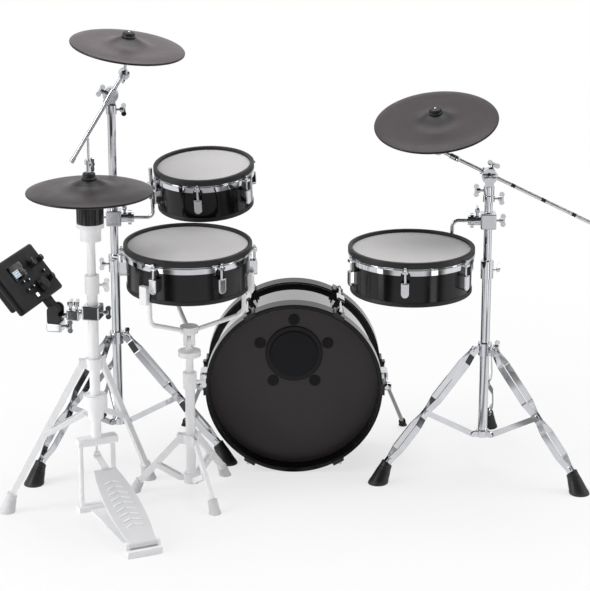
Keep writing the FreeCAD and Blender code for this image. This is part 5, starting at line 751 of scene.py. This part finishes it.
for stand in ("left_", "right_"):
    for leg in ("leg_a", "leg_b", "leg_c"):
        body = stand + leg
        foot = rubber_foot(*stand_foot(body), top_radius=14, sole_radius=26)
        settle(foot, body + "_rubber_foot", body, foot_rubber)
for body, side in (("kick_spur_left", -1), ("kick_spur_right", 1)):
    foot = rubber_foot(*spur_foot(body, side), top_radius=8.5, sole_radius=10.5, grooves=1)
    settle(foot, body + "_rubber_tip", body, foot_rubber)
hihat_lines = pale_feet(hihat_axis(), **HIHAT_LEGS)
hihat_feet = gather([rubber_foot(*line, top_radius=12, sole_radius=20) for line in hihat_lines])
settle(hihat_feet, "hihat_stand_rubber_feet", "kit_base", pale_rubber)
snare_lines = pale_feet(joint_place("snare_basket_tilt"), **SNARE_STAND_LEGS)
snare_feet = gather([rubber_foot(*line, top_radius=11, sole_radius=15) for line in snare_lines])
settle(snare_feet, "snare_stand_rubber_feet", "kit_base", pale_rubber)


# Cymbal caps, the bright nuts on them, and the felts under the pads

CAP_BORE = 6.8
CAP_ROOF = 3.3
FELT_BELOW_SWING = 10


def cymbal_cap(height):
    """Screw cap, bored for the post: a flange on the bell, a fluted grip and a nearly flat top."""
    bore = [(0, height - CAP_ROOF), (CAP_BORE, height - CAP_ROOF), (CAP_BORE, -0.5)]
    flange = [(18.4, -0.5), (19.2, 0.5), (19.2, 2.4), (18.2, 3.4), (16.7, 3.9)]
    grip = [(16.4, 4.8), (16.4, height - 3.4), (15.8, height - 1.6), (13.6, height + 0.1)]
    crown = [(9.0, height + 0.7), (6.4, height + 0.8), (5.8, height + 0.3), (0, height + 0.3)]
    cap = lathe(bore + flange + grip + crown, steps=64)
    flute(cap, count=16, steps=64, radius=16.2, depth=1.0, low=4.5, high=height - 3)
    return cap


def acorn_nut(height):
    outline = [(0, height), (3.4, height), (3.7, height + 0.5), (3.5, height + 1.1), (2.6, height + 2.0),
               (1.4, height + 2.6), (0, height + 2.7)]
    return lathe(outline, steps=32)


def felt_ring(low):
    outline = [(9.3, low), (13.0, low), (13.6, low + 1), (13.6, low + 4), (13.0, low + 5), (9.3, low + 5)]
    return lathe(outline, steps=48, closed=True)


for name, size in CYMBALS.items():
    place = cymbal_place(name) @ shift(0, 0, size["bell"])
    settle(moved(cymbal_cap(size["cap"]), place), name + "_cap", size["body"], cap_nylon)
    if name != "hihat_cymbal":
        settle(moved(acorn_nut(size["cap"]), place), name + "_acorn_nut", size["body"], chrome)
for stand, name in (("left", "crash_cymbal"), ("right", "ride_cymbal")):
    ring = felt_ring(CYMBALS[name]["bell"] - SWING_BELOW_BELL - FELT_BELOW_SWING)
    settle(moved(ring, cymbal_place(name)), name + "_felt", stand + "_cymbal_tilter", felt)


# Mesh pads: square heads of the tension rods, the hoop's rolled edge, the rubber bead at the shell's foot

LUG_COUNT = 6
KEY_HEAD_OUT = 5.3
KEY_HEAD_HEIGHT = -20.2
HOOP_INSET = 1.7
HOOP_ROLL_HEIGHTS = (-15.6, -19.4)
SHELL_INSET = 7.5
BEAD_LOW = -120.8
BEAD_HIGH = -109.2
BEAD_ROUND = 1.2


def key_head():
    """Washer and square head of a tension rod, standing on the hoop's ear."""
    outline = [(0, 0), (5.6, 0), (6.0, 0.4), (6.0, 1.2), (5.4, 1.6), (4.9, 1.8), (4.9, 5.2), (0, 5.2)]
    square = moved(soft_box(6.2, 6.2, 5.5, round_off=0.7), shift(0, 0, 4.6))
    return gather([lathe(outline, steps=32), square])


def hoop_roll(wall, high):
    """Edge of a pressed hoop, rolled outwards below a height."""
    outline = [(wall - 0.6, high), (wall + 1.1, high), (wall + 1.9, high - 0.8), (wall + 2.0, high - 1.6),
               (wall + 1.3, high - 2.4), (wall - 0.6, high - 2.7)]
    return lathe(outline, steps=160, closed=True)


def foot_bead(shell):
    outline = [(shell - 3, BEAD_LOW), (shell + 0.6, BEAD_LOW), (shell + 1.5, BEAD_LOW + BEAD_ROUND),
               (shell + 1.5, BEAD_HIGH - BEAD_ROUND), (shell + 0.7, BEAD_HIGH), (shell - 3, BEAD_HIGH)]
    return lathe(outline, steps=128, closed=True)


for pad, size in PADS.items():
    place = pad_place(pad)
    radius = size["diameter"] / 2
    heads = []
    for step in range(LUG_COUNT):
        turn = turned(size["lug_angle"] + 360 / LUG_COUNT * step)
        heads.append(moved(key_head(), place @ turn @ shift(radius + KEY_HEAD_OUT, 0, KEY_HEAD_HEIGHT)))
    settle(gather(heads), pad + "_key_heads", pad, chrome)
    rolls = [hoop_roll(radius - HOOP_INSET, high) for high in HOOP_ROLL_HEIGHTS]
    settle(moved(gather(rolls), place), pad + "_hoop_rolls", pad, chrome)
    bead = moved(foot_bead(radius - SHELL_INSET), place)
    settle(bead, pad + "_foot_bead", pad, trim_rubber)


# Sound module: window, display, knobs, dial and keys

# Shares of the panel's width and length; a knob has its radius as well
SCREEN_SHARES = (0.40, 0.31)
DISPLAY_SHARES = (0.35, 0.34)
KNOBS = ((0.74, 0.31, 12.5), (0.92, 0.33, 8.0), (0.88, 0.72, 8.0))
DIAL_SHARES = (0.64, 0.75)
KEY_SHARES = ((0.85, 0.55), (0.48, 0.54), (0.37, 0.52), (0.35, 0.69), (0.48, 0.68))
LIT_KEY_SHARES = (0.43, 0.85)

# Heights above the panel
WINDOW_FOOT = -0.4
DISPLAY_FOOT = 1.6
KNOB_HEIGHT = 12
POINTER_FOOT = 12.5
KEY_FOOT = 2.6
KEY_LIGHT_FOOT = 4.1

POINTER_FROM_RIM = 4.4
# The further to the right a knob is, the further it is turned up
POINTER_TURN = 40


def knob_cap(radius, height):
    """Fluted knob with a dished top."""
    outline = [(0, 0), (radius + 0.8, 0), (radius + 1.2, 0.6), (radius + 1.2, 2.2), (radius + 0.5, 3.0),
               (radius + 0.3, height - 1.6), (radius - 0.8, height + 0.4), (radius - 2.6, height + 0.6),
               (radius - 3.6, height + 0.3), (0, height + 0.2)]
    knob = lathe(outline, steps=60)
    flute(knob, count=20, steps=60, radius=radius - 0.2, depth=0.6, low=3.1, high=height - 0.5)
    return knob


def dial_grip():
    """Fluted sleeve over the data dial, open below."""
    outline = [(17.2, 1.0), (18.4, 1.0), (18.8, 1.8), (18.8, 4.0), (18.0, 5.0), (17.6, 11.0), (16.4, 13.4),
               (14.5, 13.9), (9.0, 13.75), (0, 13.6), (0, 13.1), (17.2, 12.6)]
    grip = lathe(outline, steps=96, closed=True)
    flute(grip, count=32, steps=96, radius=17.5, depth=0.7, low=5.1, high=12.5)
    return grip


window = moved(soft_box(74, 43, 2.4, round_off=1.1), panel_place(*SCREEN_SHARES, WINDOW_FOOT))
settle(window, "module_window", "module", window_acrylic)
display_place = panel_place(*DISPLAY_SHARES, DISPLAY_FOOT)
display = moved(soft_box(32, 19, 0.7, round_off=0.3, segments=1), display_place)
settle(display, "module_display", "module", lit_display("lit_menu_display", display_place, glow=0.85))

knobs = []
pointers = []
for across, down, radius in KNOBS:
    place = panel_place(across, down, 0)
    knobs.append(moved(knob_cap(radius, KNOB_HEIGHT), place))
    line = moved(soft_box(1.1, 5.0, 0.4, round_off=0.15, segments=1),
                 shift(0, radius - POINTER_FROM_RIM, POINTER_FOOT))
    pointers.append(moved(line, place @ turned(POINTER_TURN * across)))
settle(gather(knobs), "module_knobs", "module", cap_nylon)
settle(gather(pointers), "module_knob_pointers", "module", pointer_paint)
grip = moved(dial_grip(), panel_place(*DIAL_SHARES, 0))
settle(grip, "module_dial_grip", "module_dial", cap_nylon)

keys = []
lights = []
for shares in KEY_SHARES:
    keys.append(moved(soft_box(11.0, 8.0, 1.6, round_off=0.7), panel_place(*shares, KEY_FOOT)))
    light = soft_box(3.0, 3.0, 0.4, round_off=0.15, segments=1)
    lights.append(moved(light, panel_place(*shares, KEY_LIGHT_FOOT)))
settle(gather(keys), "module_keys", "module_buttons", key_silicone)
settle(gather(lights), "module_key_lights", "module_buttons", lit_key)
lit = moved(soft_box(12, 11, 2.0, round_off=0.8), panel_place(*LIT_KEY_SHARES, KEY_FOOT))
settle(lit, "module_lit_key", "module_buttons", lit_key)


# Right boom rod: a ferrule behind the cymbal tilter, and a rubber ring in its groove

FERRULE_BACK = 48
FERRULE_OUTLINE = ((5.6, -14), (7.2, -14), (7.8, -13), (7.8, -7), (7.0, -6), (7.0, -3), (7.8, -2), (7.8, 9),
                   (7.4, 12), (5.6, 14))
RING_OUTLINE = ((7.0, -6.2), (7.4, -5.8), (7.4, -3.2), (7.0, -2.8))

ferrule = moved(lathe(FERRULE_OUTLINE, steps=40, closed=True), boom_place(FERRULE_BACK))
settle(ferrule, "right_boom_rod_ferrule", "right_boom_rod", cast_chrome)
ring = moved(lathe(RING_OUTLINE, steps=40, closed=True), boom_place(FERRULE_BACK))
settle(ring, "right_boom_rod_ferrule_ring", "right_boom_rod", trim_rubber)


# Hi-hat pedal: slanted ridges cast on the footboard, longest in its middle

RIDGE_COUNT = 9
RIDGE_START = 60
RIDGE_SPACING = 21
RIDGE_SLANT = 24
RIDGE_FOOT = 8.6
BOARD_HALF_WIDTH = 30
BOARD_NARROWING = 1.6
# Shares of the half width: how far out a ridge's middle is, and how long it is
RIDGE_OUT = 0.52
RIDGE_LENGTH = 0.95

ridges = []
for step in range(RIDGE_COUNT):
    half = BOARD_HALF_WIDTH - abs(step - RIDGE_COUNT // 2) * BOARD_NARROWING
    for side in (-1, 1):
        spot = shift(RIDGE_START + step * RIDGE_SPACING, side * half * RIDGE_OUT, RIDGE_FOOT)
        ridge = soft_box(5, half * RIDGE_LENGTH, 2.6, round_off=0.9)
        ridges.append(moved(ridge, pedal_place() @ spot @ turned(RIDGE_SLANT * side)))
settle(gather(ridges), "hihat_footboard_ridges", "hihat_footboard", white_coat)


FLOOR_RADIUS = 16.0
FLOOR_DROP = 0.4 * MM
SHADOW_RADIUS = 0.7
PLAIN_RADIUS = 2.0
PAINTED_FLAG_COUNT = 4
AMBIENT_LEVEL = 0.38

# The camera was fitted to the round rims of pads and kick; its focal length is a share of the picture's width
CAMERA_PLACE = (-0.0350, -5.59082, 2.2805)
CAMERA_DIP = 17.4
FOCAL_SHARE = 2200 / 590
SENSOR_WIDTH = 36.0


def ray_kinds(tree):
    """Whether a ray comes straight from the camera, and whether it comes by way of a mirror or glass."""
    path = put(tree, "LightPath")
    mirrored = put(tree, "Math", {
        0: path["Is Glossy Ray"], 1: path["Is Transmission Ray"]}, operation="ADD", use_clamp=True)
    return path["Is Camera Ray"], mirrored[0]


def studio_floor():
    """White paper floor that chrome and lacquer mirror; in their reflections alone it holds four dark
    sectors, painted shade that stands for flags at the studio's corners, and it darkens towards the front as
    painted shade.
    """
    mesh = bmesh.new()
    bmesh.ops.create_circle(mesh, cap_ends=True, radius=FLOOR_RADIUS, segments=96)
    data = bpy.data.meshes.new("studio_floor")
    mesh.to_mesh(data)
    mesh.free()
    material, tree, spot = new_finish("white_studio_paper")
    away = put(tree, "VectorMath", {0: spot}, operation="LENGTH")["Value"]
    fade = put(tree, "MapRange", {
        "Value": away, "From Min": SHADOW_RADIUS, "From Max": PLAIN_RADIUS, "To Min": 0.66, "To Max": 1.0})
    direct, mirrored = ray_kinds(tree)
    seen = put(tree, "Math", {0: direct, 1: mirrored}, operation="ADD", use_clamp=True)
    share = put(tree, "Math", {0: seen[0], 1: fade["Result"]}, operation="MULTIPLY")
    # Four dark sectors towards the studio's corners, seen only in reflections: painted shade standing for
    # flags
    turn = put(tree, "TexGradient", {"Vector": spot}, gradient_type="RADIAL")["Fac"]
    round_turn = put(tree, "Math", {0: turn, 1: PAINTED_FLAG_COUNT * math.tau}, operation="MULTIPLY")[0]
    flags = put(tree, "Math", {0: round_turn}, operation="COSINE")[0]
    painted_flag_shade = put(tree, "MapRange", {
        "Value": flags, "From Min": -0.95, "From Max": -0.1, "To Min": 0.08, "To Max": 1.0},
        interpolation_type="SMOOTHSTEP")
    # Darker towards the front, again only in reflections: painted shade
    depth = put(tree, "SeparateXYZ", {"Vector": spot})["Y"]
    front = put(tree, "MapRange", {
        "Value": depth, "From Min": -2.4, "From Max": -0.9, "To Min": 0.8, "To Max": 1.0},
        interpolation_type="SMOOTHSTEP")["Result"]
    paper = put(tree, "Math", {0: painted_flag_shade["Result"], 1: front}, operation="MULTIPLY")
    glow = put(tree, "Mix", {0: mirrored, 2: 1.0, 3: paper[0]}, data_type="FLOAT")
    paint = put(tree, "BsdfDiffuse", {"Color": linear("#f4f4f4")})
    white = put(tree, "Emission", {"Color": linear("#ffffff"), "Strength": glow[0]})
    end_with(tree, put(tree, "MixShader", {0: share[0], 1: paint[0], 2: white[0]}))
    data.materials.append(material)
    floor = bpy.data.objects.new("studio_floor", data)
    bpy.context.scene.collection.objects.link(floor)
    floor.location.z = -FLOOR_DROP


def studio_room():
    world = bpy.data.worlds.new("pale_studio")
    bpy.context.scene.world = world
    world.use_nodes = True
    tree = world.node_tree
    tree.nodes.clear()
    way = put(tree, "SeparateXYZ", {"Vector": put(tree, "TexCoord")["Generated"]})
    depth = put(tree, "MapRange", {
        "Value": way["Y"], "From Min": -0.2, "From Max": 0.7, "To Min": 0.08, "To Max": 1.0},
        interpolation_type="SMOOTHSTEP")["Result"]
    ceiling = put(tree, "MapRange", {
        "Value": way["Z"], "From Min": 0.35, "From Max": 0.8, "To Min": 1.0, "To Max": 0.3},
        interpolation_type="SMOOTHSTEP")["Result"]
    walls = put(tree, "Math", {0: depth, 1: ceiling}, operation="MULTIPLY")
    direct, mirrored = ray_kinds(tree)
    room = put(tree, "Mix", {0: mirrored, 2: AMBIENT_LEVEL, 3: walls[0]}, data_type="FLOAT")
    level = put(tree, "Mix", {0: direct, 2: room[0], 3: 1.0}, data_type="FLOAT")
    back = put(tree, "Background", {"Color": linear("#ffffff"), "Strength": level[0]})
    put(tree, "OutputWorld", {"Surface": back[0]})


def soft_lamp(name, spot, target, width, height, power, seen=True):
    lamp = bpy.data.lights.new(name, "AREA")
    lamp.shape = "RECTANGLE"
    lamp.size = width
    lamp.size_y = height
    lamp.energy = power
    holder = bpy.data.objects.new(name, lamp)
    holder.location = spot
    holder.rotation_euler = (Vector(target) - Vector(spot)).to_track_quat("-Z", "Y").to_euler()
    holder.visible_camera = seen
    bpy.context.scene.collection.objects.link(holder)


def studio_camera():
    camera = bpy.data.cameras.new("studio_camera")
    camera.sensor_fit = "HORIZONTAL"
    camera.sensor_width = SENSOR_WIDTH
    camera.lens = SENSOR_WIDTH * FOCAL_SHARE
    holder = bpy.data.objects.new("studio_camera", camera)
    holder.location = CAMERA_PLACE
    holder.rotation_euler = (math.radians(90 - CAMERA_DIP), 0, 0)
    bpy.context.scene.collection.objects.link(holder)
    bpy.context.scene.camera = holder


studio_floor()
studio_room()
soft_lamp("overhead_softbox", (0.0, 0.6, 4.2), (0, 0, 0), width=4.0, height=3.2, power=110)
soft_lamp("left_softbox", (-3.3, -1.2, 1.9), (0, 0, 0.6), width=0.9, height=3.0, power=60)
soft_lamp("right_softbox", (3.4, -0.5, 1.8), (0, 0, 0.6), width=0.5, height=3.0, power=24)
soft_lamp("right_strip", (1.15, -1.15, 0.26), (0.1, 0, 0.26), width=0.3, height=0.5, power=0.9, seen=False)
soft_lamp("left_strip", (-1.35, -1.0, 0.26), (-0.1, 0, 0.26), width=0.36, height=0.5, power=1.0, seen=False)
studio_camera()
bpy.context.scene.view_settings.view_transform = "Standard"
